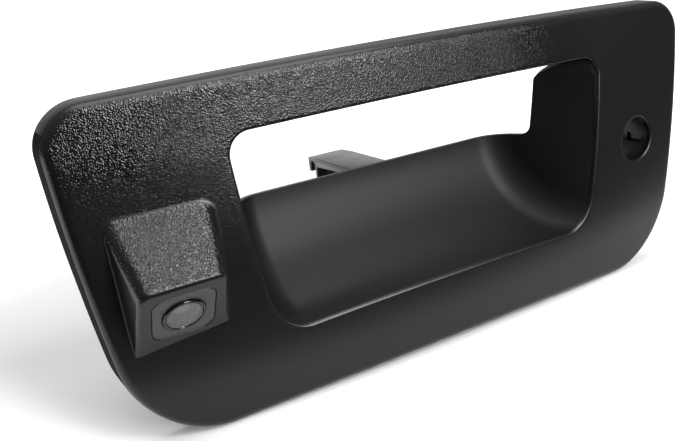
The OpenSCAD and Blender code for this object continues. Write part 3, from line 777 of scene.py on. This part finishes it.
def moulded_grain(name, values, grain, plain, shine=0.5):
    """ABS moulded in a spark-eroded tool: rounded grains that break up the light, with smooth
    areas where the tool was polished. The grain is drawn a little coarser than the real one."""
    material, tree = blank(name)
    place = here(tree)
    cells = {"Vector": place, "Scale": 1 / grain, "Randomness": 1.0}
    pebbles = add(tree, "ShaderNodeTexVoronoi", cells, feature="SMOOTH_F1")
    pebbles.inputs["Smoothness"].default_value = 0.35
    rough = noise(tree, place, 1.1 / grain, 0.0)
    both = add(tree, "ShaderNodeMath", {0: pebbles.outputs["Distance"], 1: rough}, operation="ADD")
    mask = add(tree, "ShaderNodeAttribute", attribute_name="grain").outputs["Fac"]
    drift = noise(tree, place, per(40), 3.0, Roughness=0.5)
    shade(tree, {
        "Base Color": tone(tree, drift, values, 0.88, 1.12),
        "Roughness": spread(tree, mask, plain, 0.15, 0.1, 0.7),
        "Normal": bump(tree, both.outputs[0], 0.24 * grain, mask),
        "IOR": 1.5,
        "Specular IOR Level": shine,
    })
    return material


def satin_plastic(name, values, roughness, grit, shine=0.5):
    """Injection-moulded PBT or ABS from a fine-blasted tool: even and satin, with a faint grit that
    only shows in the highlights."""
    material, tree = blank(name)
    place = here(tree)
    fine = noise(tree, place, per(grit), 2.0, Roughness=0.6)
    drift = noise(tree, place, per(9), 2.0)
    shade(tree, {
        "Base Color": tone(tree, drift, values, 0.92, 1.08),
        "Roughness": spread(tree, drift, roughness - 0.04, roughness + 0.04, 0.3, 0.7),
        "Normal": bump(tree, fine, 0.06 * grit * MM, 0.7),
        "IOR": 1.52,
        "Specular IOR Level": shine,
    })
    return material


def polished_plastic(name, values):
    """Acrylic-like polished ABS: deep black with sharp reflections and very faint moulding flow."""
    material, tree = blank(name)
    flow = noise(tree, here(tree), per(6), 1.0)
    shade(tree, {
        "Base Color": rgba(values),
        "Roughness": spread(tree, flow, 0.07, 0.14),
        "Normal": bump(tree, flow, 0.02 * MM, 0.3),
        "IOR": 1.5,
        "Coat Weight": 0.3,
        "Coat Roughness": 0.05,
    })
    return material


def moulded_rubber(name, values):
    """EPDM rubber, compression moulded: matt, slightly grey where it is handled."""
    material, tree = blank(name)
    place = here(tree)
    skin = noise(tree, place, per(0.6), 3.0)
    bloom = noise(tree, place, per(5), 2.0)
    shade(tree, {
        "Base Color": tone(tree, bloom, values, 0.85, 1.35),
        "Roughness": 0.72,
        "Normal": bump(tree, skin, 0.03 * MM, 0.6),
        "IOR": 1.5,
    })
    return material


def plated_steel(name, values, roughness, spangle):
    """Rolled steel strip with an electroplated or phosphated skin: fine rolling lines along X, and
    patches where the skin is thicker."""
    material, tree = blank(name)
    place = here(tree)
    drawn = add(tree, "ShaderNodeMapping", {"Vector": place, "Scale": (0.08, 1.0, 1.0)}).outputs[0]
    lines = noise(tree, drawn, per(0.35), 3.0)
    patches = add(tree, "ShaderNodeTexVoronoi", {"Vector": place, "Scale": per(spangle)}).outputs["Color"]
    shade(tree, {
        "Base Color": tone(tree, patches, values, 0.86, 1.08),
        "Metallic": 1.0,
        "Roughness": spread(tree, lines, roughness - 0.08, roughness + 0.1),
        "Normal": bump(tree, lines, 0.015 * MM, 0.6),
    })
    return material


def coated_glass(name, tint):
    """Optical glass, ground and polished, with a thin coating that tints what it reflects."""
    material, tree = blank(name)
    dust = noise(tree, here(tree), per(2.5), 4.0)
    shade(tree, {
        "Base Color": rgba(tint),
        "Roughness": spread(tree, dust, 0.03, 0.08, 0.4),
        "IOR": 1.52,
        "Transmission Weight": 1.0,
        "Coat Weight": 0.4,
        "Coat Roughness": 0.02,
    })
    return material


def solder_mask(name):
    """A glass-fibre board under green solder mask, with the copper tracks just standing through."""
    material, tree = blank(name)
    place = here(tree)
    tracks = add(
        tree, "ShaderNodeTexBrick",
        {
            "Vector": place, "Scale": per(6), "Mortar Size": 0.03,
            "Color1": rgba(linear("#1c5a33")), "Color2": rgba(linear("#1f6238")),
            "Mortar": rgba(linear("#2f7a48")),
        },
    )
    weave = noise(tree, place, per(0.5), 2.0)
    shade(tree, {
        "Base Color": tracks.outputs["Color"],
        "Roughness": 0.32,
        "Normal": bump(tree, weave, 0.02 * MM, 0.5),
        "IOR": 1.5,
    })
    return material


def most(tree, first, second):
    """The larger of two levels."""
    return add(tree, "ShaderNodeMath", {0: first, 1: second}, operation="MAXIMUM").outputs[0]


def seen_as_white(tree, rays, mirrored):
    """Whether a ray comes from the camera, through glass or, where mirrored, from a glossy surface."""
    direct = most(tree, rays.outputs["Is Camera Ray"], rays.outputs["Is Transmission Ray"])
    return most(tree, direct, mirrored)


def white_floor(name, values):
    """A painted table. It keeps the shadow, and further out its white is the background's."""
    material, tree = blank(name)
    rays = add(tree, "ShaderNodeLightPath")
    seen = seen_as_white(tree, rays, rays.outputs["Is Glossy Ray"])
    away = add(tree, "ShaderNodeVectorMath", {0: here(tree)}, operation="LENGTH").outputs["Value"]
    paint = add(tree, "ShaderNodeBsdfDiffuse", {"Color": rgba(values), "Roughness": 0.5})
    far = spread(tree, away, 0.0, 1.0, 0.3, 0.7)
    glow = add(tree, "ShaderNodeEmission", {"Color": (1, 1, 1, 1), "Strength": far})
    lift = add(tree, "ShaderNodeMixShader", {0: seen, 2: glow.outputs[0]})
    both = add(tree, "ShaderNodeAddShader", {0: paint.outputs[0], 1: lift.outputs[0]})
    add(tree, "ShaderNodeOutputMaterial", {"Surface": both.outputs[0]})
    return material


_made = {}


def material(kind):
    """Each finish of this bezel, made once."""
    if kind in _made:
        return _made[kind]
    colours = bpy.context.scene.bezel_finishes
    finishes = {
        "bezel": (moulded_grain, "Grained ABS moulding", colours.plastic, colours.grain, 0.31),
        "cup": (moulded_grain, "Blasted ABS cup", colours.plastic, colours.grain, 0.5, 0.3),
        "plain": (satin_plastic, "Plain ABS moulding", colours.plastic, 0.34, 0.5),
        "arm": (satin_plastic, "Smooth ABS arm", colours.plastic, 0.3, 0.5, 0.85),
        # For the outer side walls: the same black, made rougher and with its reflection almost turned off
        # (shine 0.06), which paints shade on them.
        "skirt": (satin_plastic, "Blasted ABS skirt", colours.plastic, 0.8, 0.6, 0.06),
        # The camera front's lighter grey is a painted reflection of the floor below it.
        "camera": (satin_plastic, "Satin PBT camera front", colours.camera, 0.38, 0.3),
        "housing": (satin_plastic, "Blasted PBT housing", linear("#242426"), 0.5, 0.4),
        "ring": (polished_plastic, "Polished ABS ring", colours.ring),
        "barrel": (satin_plastic, "Anodised black barrel", linear("#0d0d0e"), 0.5, 0.3),
        "rubber": (moulded_rubber, "Moulded EPDM rubber", colours.rubber),
        "zinc": (plated_steel, "Zinc plated steel", colours.zinc, 0.34, 1.6),
        "spring": (plated_steel, "Phosphated spring steel", colours.spring, 0.46, 0.8),
        "window": (coated_glass, "Hardened window glass", linear("#d9dcde")),
        "lens": (coated_glass, "Coated lens glass", linear("#dfe8f2")),
        "filter": (coated_glass, "Filter glass", linear("#c9a7b4")),
        "board": (solder_mask, "Green solder mask"),
        "chip": (satin_plastic, "Moulded epoxy chip", linear("#161617"), 0.55, 0.3),
        "die": (polished_plastic, "Sensor package", linear("#232a33")),
        "connector": (satin_plastic, "Moulded nylon connector", linear("#d8d3c4"), 0.4, 0.4),
    }
    make, *values = finishes[kind]
    _made[kind] = make(*values)
    return _made[kind]


# --- Pieces ---


def paint_grain(obj, share):
    """Writes how much grain each point carries, from its place and normal."""
    mesh = obj.data
    count = len(mesh.vertices)
    places = np.zeros(count * 3)
    mesh.vertices.foreach_get("co", places)
    normals = np.zeros(count * 3)
    mesh.vertices.foreach_get("normal", normals)
    layer = mesh.attributes.new("grain", "FLOAT", "POINT")
    layer.data.foreach_set("value", share(places.reshape(-1, 3), normals.reshape(-1, 3)).astype(np.float32))


def ramp(values, low, high):
    """Zero up to low, one from high, and smooth between."""
    t = np.clip((values - low) / (high - low), 0, 1)
    return t * t * (3 - 2 * t)


def moulding(obj, kind="plain", angle=CREASE):
    """Dresses a part of the bezel, which is one moulding."""
    smooth(obj, angle)
    return finish_piece(obj, material(kind), "bezel_plastic", "handle_bezel")


class PieceOperator:
    """What the operators share: each makes its pieces from the curves that the sizes give."""

    bl_options = {"REGISTER", "UNDO"}

    def execute(self, context):
        form = BezelForm(context.scene.bezel_sizes)
        self.make(form, WedgeForm(form, context.scene.camera_sizes))
        return {"FINISHED"}


class BEZEL_OT_shell(PieceOperator, bpy.types.Operator):
    """Makes the moulded shell: face, skirt, opening and hand cup"""

    bl_idname = "bezel.shell"
    bl_label = "Shell"

    def make(self, form, wedge):
        s = form.s
        shell = tube("bezel_shell", form.shell_rings())
        depths = (-0.3 * MM, 6 * MM)
        hollow = stack("cutter", [wedge.inside_base(wedge.c.wall - 0.3 * MM, depth) for depth in depths])
        radius = s.lock_diameter / 2
        bore = domed("cutter", [(radius, -30 * MM), (radius, 30 * MM)])
        inwards_at(bore, s.lock_across)
        face = form.face_y(s.lock_across, 0)
        edge = 1.2 * MM
        flare = [(radius - 3 * MM, -2 * MM), (radius + edge, -2 * MM)]
        flare += [(radius + inwards, down) for inwards, down in round_edge(edge, 10)[:-1]]
        flare += [(radius - 3 * MM, edge)]
        mouth = turned("cutter", flare)
        slope = math.atan(2 * s.bow_across * s.lock_across / form.half_w**2)
        inwards_at(mouth, s.lock_across, face, slope=slope)
        cut(shell, hollow, bore, mouth)

        def share(places, normals):
            """Most round the camera, fading to the right and downwards, with some in the cup."""
            front = ramp(-normals[:, 1], 0.2, 0.6)
            depth = places[:, 1] - form.face_y(places[:, 0], places[:, 2])
            on_face = front * (1 - ramp(depth, 0.3 * MM, 1.5 * MM))
            fading = 1 - 0.94 * ramp(places[:, 0], 25 * MM, 115 * MM)
            below = -places[:, 2]
            low = 1 - 0.6 * ramp(below, -58 * MM, -34 * MM) - 0.32 * ramp(below, -15 * MM, 35 * MM)
            cup = 0.35 * ramp(depth, 4 * MM, 10 * MM) * (1 - ramp(places[:, 0], -70 * MM, 20 * MM) * 0.95)
            return np.clip(on_face * fading * low + cup * (1 - front), 0, 1)

        paint_grain(shell, share)
        moulding(shell, "bezel", 32)
        shell.data.materials.append(material("skirt"))
        shell.data.materials.append(material("cup"))
        skirt, cup = 1, 2  # their material slots
        deep, flank = 2.5 * MM, 26 * MM  # where the cup begins behind the face, and how wide the sides are
        for face in shell.data.polygons:
            x, y, z = face.center
            if y > form.face_y(x, z) + deep:
                face.material_index = cup
            outside = abs(x) > form.half_w - flank
            outward = face.normal.x * x / form.half_w**2 + face.normal.z * z / form.half_h**2 > 0
            # Outer side-wall faces that point left and right take that dimmed plastic: painted shade on the
            # sides.
            if outside and outward and abs(face.normal.y) < 0.3 and abs(face.normal.x) > 0.85:
                face.material_index = skirt


class BEZEL_OT_wedge(PieceOperator, bpy.types.Operator):
    """Makes the wedge on the face, with the pocket for the camera"""

    bl_idname = "bezel.wedge"
    bl_label = "Camera wedge"

    def make(self, form, wedge):
        obj = tube("camera_wedge", wedge.skin_rings())

        def share(places, normals):
            return ramp(normals[:, 2], 0.1, 0.4)

        paint_grain(obj, share)
        moulding(obj, "bezel", 40)


class BEZEL_OT_lock_collar(PieceOperator, bpy.types.Operator):
    """Makes the collar behind the lock hole, with its key slot and gussets"""

    bl_idname = "bezel.lock_collar"
    bl_label = "Lock collar"

    def make(self, form, wedge):
        s = form.s
        radius = s.lock_diameter / 2
        face = form.face_y(s.lock_across, 0)
        inner = face + 2.4 * MM  # within the shell's wall
        outside, end, edge = radius + s.wall, s.lock_depth, 0.3 * MM
        collar = turned(
            "lock_collar",
            [
                (radius, inner - 1.0 * MM), (radius, end - edge), (radius + edge, end),
                (outside - edge, end), (outside, end - edge), (outside, inner),
            ],
        )
        inwards_at(collar, s.lock_across)
        start, run_in, play = face + s.wall + 4 * MM, 10 * MM, 0.15 * MM
        slot = slab(
            "cutter",
            (s.lock_across + radius - 1 * MM, start, -s.lock_slot - play),
            (s.lock_across + radius + s.wall / 2, start + run_in, -play),
        )
        cut(collar, slot)
        gussets = []
        foot, near, far = face + s.wall / 2, radius + 1 * MM, radius + 20 * MM
        for side in (-1, 1):
            outline = [(foot, side * near), (s.lock_depth - 4 * MM, side * near), (foot, side * far)]
            gusset = along_x("gusset", outline, s.lock_across, 2 * MM)
            soften(gusset, 0.3 * MM)
            gussets.append(gusset)
        moulding(gather("lock_collar_moulding", [collar] + gussets))


class BEZEL_OT_arm(PieceOperator, bpy.types.Operator):
    """Makes the arm behind the cup, with its hook, leg, skirts and scalloped web"""

    bl_idname = "bezel.arm"
    bl_label = "Rear arm"

    def make(self, form, wedge):
        s = form.s

        def back(z):
            drop = (s.cup_height - z) / (s.cup_height - form.open_bottom)
            return mix(s.open_edge - s.depth, s.cup_depth, math.sqrt(1 - drop * drop)) + s.wall / 2

        top, under = s.arm_height, s.arm_height - s.arm_wall
        hook, notch, leg_drop = 3 * MM, 5 * MM, 5 * MM
        end, leg = s.arm_reach, s.arm_reach - 8 * MM
        skirt, web, lap = 3.2 * MM, 9 * MM, 0.5 * MM
        bite, lift, pitch = 5.5 * MM, 1 * MM, 15 * MM  # radius, height and spacing of the scallops
        lip, foot = top - s.arm_lip, top - s.arm_lip - leg_drop
        slope, fall = 12 * MM, 0.6 * MM  # how the top slopes down to the arm's end
        arch = [
            (leg + notch / 2 + notch / 2 * math.cos(a), under - 2.4 * MM + notch / 2 * math.sin(a))
            for a in [math.pi * k / 12 for k in range(13)]
        ]
        plate = along_x(
            "arm_plate",
            [
                (back(top), top), (end - slope, top), (end, top - fall), (end, lip),
                (end - hook, lip),
                *arch,
                (leg, foot), (leg - s.arm_wall, foot), (leg - s.arm_wall, under), (back(under), under),
            ],
            0, s.arm_width,
        )
        parts = [plate]
        edge = [
            (back(under), under + lap), (leg - 1 * MM, under + lap), (leg - 1 * MM, under - skirt),
            (leg - 30 * MM, under - skirt / 2), (back(under - web), under - web),
        ]
        for side in (-1, 1):
            parts.append(along_x("arm_skirt", edge, side * (s.arm_width - s.arm_wall) / 2, s.arm_wall))
        middles = [leg - 8 * MM - pitch * k for k in range(4)]
        middles = [m for m in middles if m > s.cup_depth + 12 * MM]
        low = under - web
        edge = [(back(low), low)]
        first, last = math.pi - math.asin(lift / bite), math.asin(lift / bite)
        for middle in sorted(middles):
            for k in range(15):
                a = mix(first, last, k / 14)
                edge.append((middle + bite * math.cos(a), low - lift + bite * math.sin(a)))
        edge += [(leg - 1 * MM, low), (leg - 1 * MM, under + lap), (back(under), under + lap)]
        parts.append(along_x("arm_web", edge, 0, s.arm_wall))
        for part in parts:
            soften(part, 0.35 * MM)
        moulding(gather("rear_arm", parts), "arm")


class BEZEL_OT_fixings(PieceOperator, bpy.types.Operator):
    """Makes the clip blades, the stiffening ribs and the camera's bosses behind the face"""

    bl_idname = "bezel.fixings"
    bl_label = "Blades, ribs and bosses"

    BLADES_HIGH = [x * MM for x in (-128, -62, 62, 128)]
    BLADES_LOW = [x * MM for x in (-62, 62)]
    RIBS_HIGH = [x * MM for x in (-88, -33, 0, 33, 88)]
    RIBS_LOW = [x * MM for x in (-33, 0, 33)]

    def make(self, form, wedge):
        s, c = form.s, wedge.c
        parts = []
        high = (form.open_top + form.half_h) / 2
        low = (form.open_bottom - form.half_h) / 2
        wide, thick, tip = 7 * MM, 1.2 * MM, 13 * MM  # of a blade, from its middle
        hole, near, far = 2 * MM, 6 * MM, 10 * MM  # of the window for its clip
        for x, z in [(x, high) for x in self.BLADES_HIGH] + [(x, low) for x in self.BLADES_LOW]:
            start = form.face_y(x, z) + s.wall / 2
            blade = slab("blade", (x - wide, start, z - thick), (x + wide, tip, z + thick))
            cut(blade, slab("cutter", (x - hole, near, z - 3 * MM), (x + hole, far, z + 3 * MM)))
            soften(blade, 0.3 * MM)
            parts.append(blade)

        def droop(x, share):
            return s.open_droop * (x / form.open_half) ** 2 * (1 - share / 3)

        def rib(x, bottom, top):
            start, end, half = form.face_y(x, form.half_h) + 0.6 * MM, -2.5 * MM, 0.9 * MM
            return slab("rib", (x - half, start, bottom), (x + half, end, top))

        skin = 1.8 * MM  # how far a rib stays inside the outline
        for x in self.RIBS_HIGH:
            parts.append(rib(x, form.open_top - droop(x, 1) + 1.2 * MM, form.half_h - skin))
        for x in self.RIBS_LOW:
            parts.append(rib(x, skin - form.half_h, form.open_bottom - droop(x, -1) - 1 * MM))
        for z, seat in screw_seats(form, wedge):
            start = form.face_y(c.across, z) + s.wall / 2
            bore, outer, edge = 1.55 * MM, 3.7 * MM, 0.3 * MM
            profile = [(bore, start), (bore, seat), (outer - edge, seat), (outer, seat - edge)]
            boss = turned("boss", [*profile, (outer, start)], 48)
            inwards_at(boss, -c.across, z=z)
            parts.append(boss)
        moulding(gather("rear_fixings", parts))


def screw_seats(form, wedge):
    """Height and seat of the bracket's two screws."""
    c, s, clear = wedge.c, form.s, 9 * MM
    high, low = c.crown + clear, -c.foot - clear
    lower = lens_frame(form, c) @ Vector((0, -c.front_height / 2, -c.body_length))
    return [(high, form.face_y(c.across, high) + s.wall + 3.5 * MM), (low, lower.y)]


class BEZEL_OT_camera_front(PieceOperator, bpy.types.Operator):
    """Makes the camera's front cover, with a rounded edge and a seat for the ring"""

    bl_idname = "bezel.camera_front"
    bl_label = "Camera front"

    def make(self, form, wedge):
        c = wedge.c
        top, shoulder, seam = -0.1 * MM, -3.2 * MM, -8.2 * MM
        outer = [(inwards, top - down) for inwards, down in round_edge(0.5 * MM)]
        below, inside, bore, seat = shoulder - 1.8 * MM, shoulder - 2.3 * MM, 6.15 * MM, -2.8 * MM
        flange, wall = -1.3 * MM, 1.6 * MM
        outer += [(0, shoulder), (flange, shoulder), (flange, below), (0, below)]
        outer += [(0, seam), (wall, seam), (wall, inside)]
        hole = c.ring / 2 + c.gap
        levels = [(bore, inside), (bore, seat), (hole, seat), (hole, top - 0.3 * MM)]
        levels += [(hole + 0.1 * MM, top - 0.1 * MM), (hole + 0.3 * MM, top)]
        rings = plate_rings(c.front_width, c.front_height, c.front_corner, outer)
        rings += circles(levels, PLATE_POINTS, -math.pi / 2)
        cover = tube("camera_front", rings)
        camera_piece(cover, lens_frame(form, c), material("camera"), "camera_plastic", "camera_front_cover")


class BEZEL_OT_window(PieceOperator, bpy.types.Operator):
    """Makes the glossy ring and the window in it"""

    bl_idname = "bezel.window"
    bl_label = "Ring and window"

    def make(self, form, wedge):
        c = wedge.c
        place = lens_frame(form, c)
        top, outer, inner = c.ring_proud, c.ring / 2, c.window / 2 + c.gap
        seat, foot, ledge = -0.6 * MM, -1.6 * MM, inner - 1 * MM
        profile = [(inner, seat), (inner, top - 0.35 * MM)]
        profile += [(inner + out, top - down) for down, out in round_edge(0.25 * MM, 6)]
        profile += [(outer - inwards, top - down) for inwards, down in round_edge(0.5 * MM, 6)]
        profile += [(outer, foot), (ledge, foot), (ledge, seat)]
        ring = turned("lens_ring", profile, 128)
        camera_piece(ring, place, material("ring"), "ring_gloss", "lens_trim_ring")
        radius, front, dome = c.window / 2, top - 0.2 * MM, 0.12 * MM
        levels = [(radius * k / 12, front + dome * (1 - (k / 12) ** 2)) for k in range(1, 12)]
        levels += [(radius - inwards, front - down) for inwards, down in round_edge(0.2 * MM)]
        levels += [(radius, seat), (radius * 0.5, seat)]
        window = domed("lens_window_glass", levels, 128)
        camera_piece(window, place, material("window"), "window_glass", "lens_window", angle=40)


class BEZEL_OT_camera_body(PieceOperator, bpy.types.Operator):
    """Rounds and dresses the camera's rear half, its gland, bracket, screws and the clips"""

    bl_idname = "bezel.camera_body"
    bl_label = "Camera body and fixings"

    ROUNDED = (
        ("camera_housing", "housing_rear", 0.5, "housing", "camera_plastic"),
        ("cable_gland", "lead_gland", 0.25, "rubber", "seal_rubber"),
        ("camera_bracket", "bracket_strap", 0.25, "zinc", "zinc_steel"),
        ("bracket_screws", "bracket_screw_pair", 0.25, "zinc", "zinc_steel"),
        ("housing_screws", "housing_screw_set", 0.12, "zinc", "zinc_steel"),
        ("spring_clips", "clip_set", 0.12, "spring", "spring_steel"),
    )

    def make(self, form, wedge):
        for node, name, width, kind, slot in self.ROUNDED:
            softened_node(node, name, width * MM, material(kind), slot)


class BEZEL_OT_inner_parts(PieceOperator, bpy.types.Operator):
    """Dresses the solids inside the camera, whose plain forms are right"""

    bl_idname = "bezel.inner_parts"
    bl_label = "Inner parts"

    DRESS = {
        "cover_gasket": "rubber", "housing_seal": "rubber",
        "lens_barrel": "barrel", "lens_retainer": "barrel",
        "lens_spacer": "barrel", "front_lens": "lens", "middle_lens": "lens", "rear_lens": "lens",
        "ir_filter": "filter", "lens_holder": "housing", "sensor_glass": "lens", "image_sensor": "die",
        "camera_board": "board", "board_components": "chip", "board_connector": "connector",
    }

    def make(self, form, wedge):
        for node, kind in self.DRESS.items():
            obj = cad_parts[node]
            for slot in obj.material_slots:
                slot.material = material(kind)
            if not obj.material_slots:
                obj.data.materials.append(material(kind))


def studio(name):
    """A room with a white backdrop behind the bezel and a pale ceiling, dark towards the floor. The
    camera sees white all round, and glossy surfaces see it where the backdrop stands."""
    world = bpy.data.worlds.new(name)
    world.use_nodes = True
    tree = world.node_tree
    tree.nodes.clear()
    way = add(tree, "ShaderNodeTexCoord").outputs["Generated"]

    def towards(aim, start, full, low, high):
        """A level that rises from low to high as a direction nears the aim."""
        aim = Vector(aim).normalized()
        near = add(tree, "ShaderNodeVectorMath", {0: way, 1: aim}, operation="DOT_PRODUCT")
        level = spread(tree, near.outputs["Value"], low, high, start, full)
        level.node.interpolation_type = "SMOOTHSTEP"
        return level

    ceiling = towards((0, 0, 1), -0.2, 0.8, 0.02, 0.3)
    window = towards((0.2, -0.6, 0.75), 0.5, 0.95, 0.0, 0.3)
    backdrop = towards((0.45, 0.89, 0), 0.6, 0.9, 0.0, 1.0)
    level = most(tree, ceiling, window)
    rays = add(tree, "ShaderNodeLightPath")
    mirrored = rays.outputs["Is Glossy Ray"]
    shown = add(tree, "ShaderNodeMath", {0: mirrored, 1: backdrop}, operation="MULTIPLY")
    seen = seen_as_white(tree, rays, shown.outputs[0])
    room = add(tree, "ShaderNodeBackground", {"Color": (0.96, 0.97, 1.0, 1), "Strength": level})
    white = add(tree, "ShaderNodeBackground", {"Color": (1, 1, 1, 1), "Strength": 1.0})
    both = add(tree, "ShaderNodeMixShader", {0: seen, 1: room.outputs[0], 2: white.outputs[0]})
    add(tree, "ShaderNodeOutputWorld", {"Surface": both.outputs[0]})
    return world


class BEZEL_OT_stage(PieceOperator, bpy.types.Operator):
    """Sets the floor, the soft light and the camera"""

    bl_idname = "bezel.stage"
    bl_label = "Stage"

    def make(self, form, wedge):
        scene = bpy.context.scene
        ground = CAD_BOX[0][2]
        floor = new_object(
            "floor",
            [(-3, -0.06, ground), (3, -0.06, ground), (3, 3, ground), (-3, 3, ground)],
            [(0, 1, 2, 3)],
        )
        if floor.data.polygons[0].normal.z < 0:
            floor.data.flip_normals()
        floor.data.materials.append(white_floor("Painted floor", scene.bezel_finishes.floor))
        scene.world = studio("Studio")

        lamps = (
            ("front_softbox", (0.37, -1.19, 0.28), (-0.08, 0, 0.05), 0.57, 0.5, 12.8),
            ("high_softbox", (0.222, -0.878, 0.832), (-0.12, -0.03, -0.02), 0.36, 0.4, 8.5),
            ("top_softbox", (0.1, -0.05, 1.25), (0, -0.05, 0), 1.2, 1.1, 12),
        )
        for name, place, aim, wide, tall, power in lamps:
            data = bpy.data.lights.new(name, "AREA")
            data.shape = "RECTANGLE"
            data.size, data.size_y, data.energy = wide, tall, power
            lamp = linked(name, data)
            lamp.location = place
            lamp.rotation_euler = (Vector(aim) - Vector(place)).to_track_quat("-Z", "Y").to_euler()

        data = bpy.data.cameras.new("view")
        data.sensor_width, data.lens = 36, 39.23
        data.clip_start = 0.01
        camera = linked("view", data)
        look = Vector((0.431, 0.849, -0.306)).normalized()
        up = Vector((0.249, 0.213, 0.945))
        right = look.cross(up).normalized()
        up = right.cross(look).normalized()
        turn = Matrix((right, up, -look)).transposed().to_4x4()
        camera.matrix_world = Matrix.Translation((-0.1971, -0.2888, 0.102)) @ turn
        scene.camera = camera
        scene.view_settings.view_transform = "Standard"


class BEZEL_PT_panel(bpy.types.Panel):
    """Lists the pieces and the sizes"""

    bl_idname = "BEZEL_PT_panel"
    bl_label = "Tailgate bezel"
    bl_space_type = "VIEW_3D"
    bl_region_type = "UI"
    bl_category = "Bezel"

    def draw(self, context):
        for operator in PIECES:
            self.layout.operator(operator.bl_idname)
        for group in (context.scene.bezel_sizes, context.scene.camera_sizes, context.scene.bezel_finishes):
            box = self.layout.box()
            for name in group.bl_rna.properties.keys():
                if name not in ("rna_type", "name"):
                    box.prop(group, name)


GROUPS = (BezelSizes, CameraSizes, Finishes)
PIECES = (
    BEZEL_OT_stage, BEZEL_OT_shell, BEZEL_OT_wedge, BEZEL_OT_lock_collar, BEZEL_OT_arm, BEZEL_OT_fixings,
    BEZEL_OT_camera_front, BEZEL_OT_window, BEZEL_OT_camera_body, BEZEL_OT_inner_parts,
)


def register():
    for cls in (*GROUPS, *PIECES, BEZEL_PT_panel):
        bpy.utils.register_class(cls)
    bpy.types.Scene.bezel_sizes = PointerProperty(type=BezelSizes)
    bpy.types.Scene.camera_sizes = PointerProperty(type=CameraSizes)
    bpy.types.Scene.bezel_finishes = PointerProperty(type=Finishes)


def unregister():
    del bpy.types.Scene.bezel_sizes, bpy.types.Scene.camera_sizes, bpy.types.Scene.bezel_finishes
    for cls in (BEZEL_PT_panel, *reversed(PIECES), *reversed(GROUPS)):
        bpy.utils.unregister_class(cls)


def main():
    register()
    for piece in PIECES:
        module, name = piece.bl_idname.split(".")
        if getattr(getattr(bpy.ops, module), name)() != {"FINISHED"}:
            raise RuntimeError(f"{piece.bl_label} did not finish")


if __name__ == "__main__":
    main()
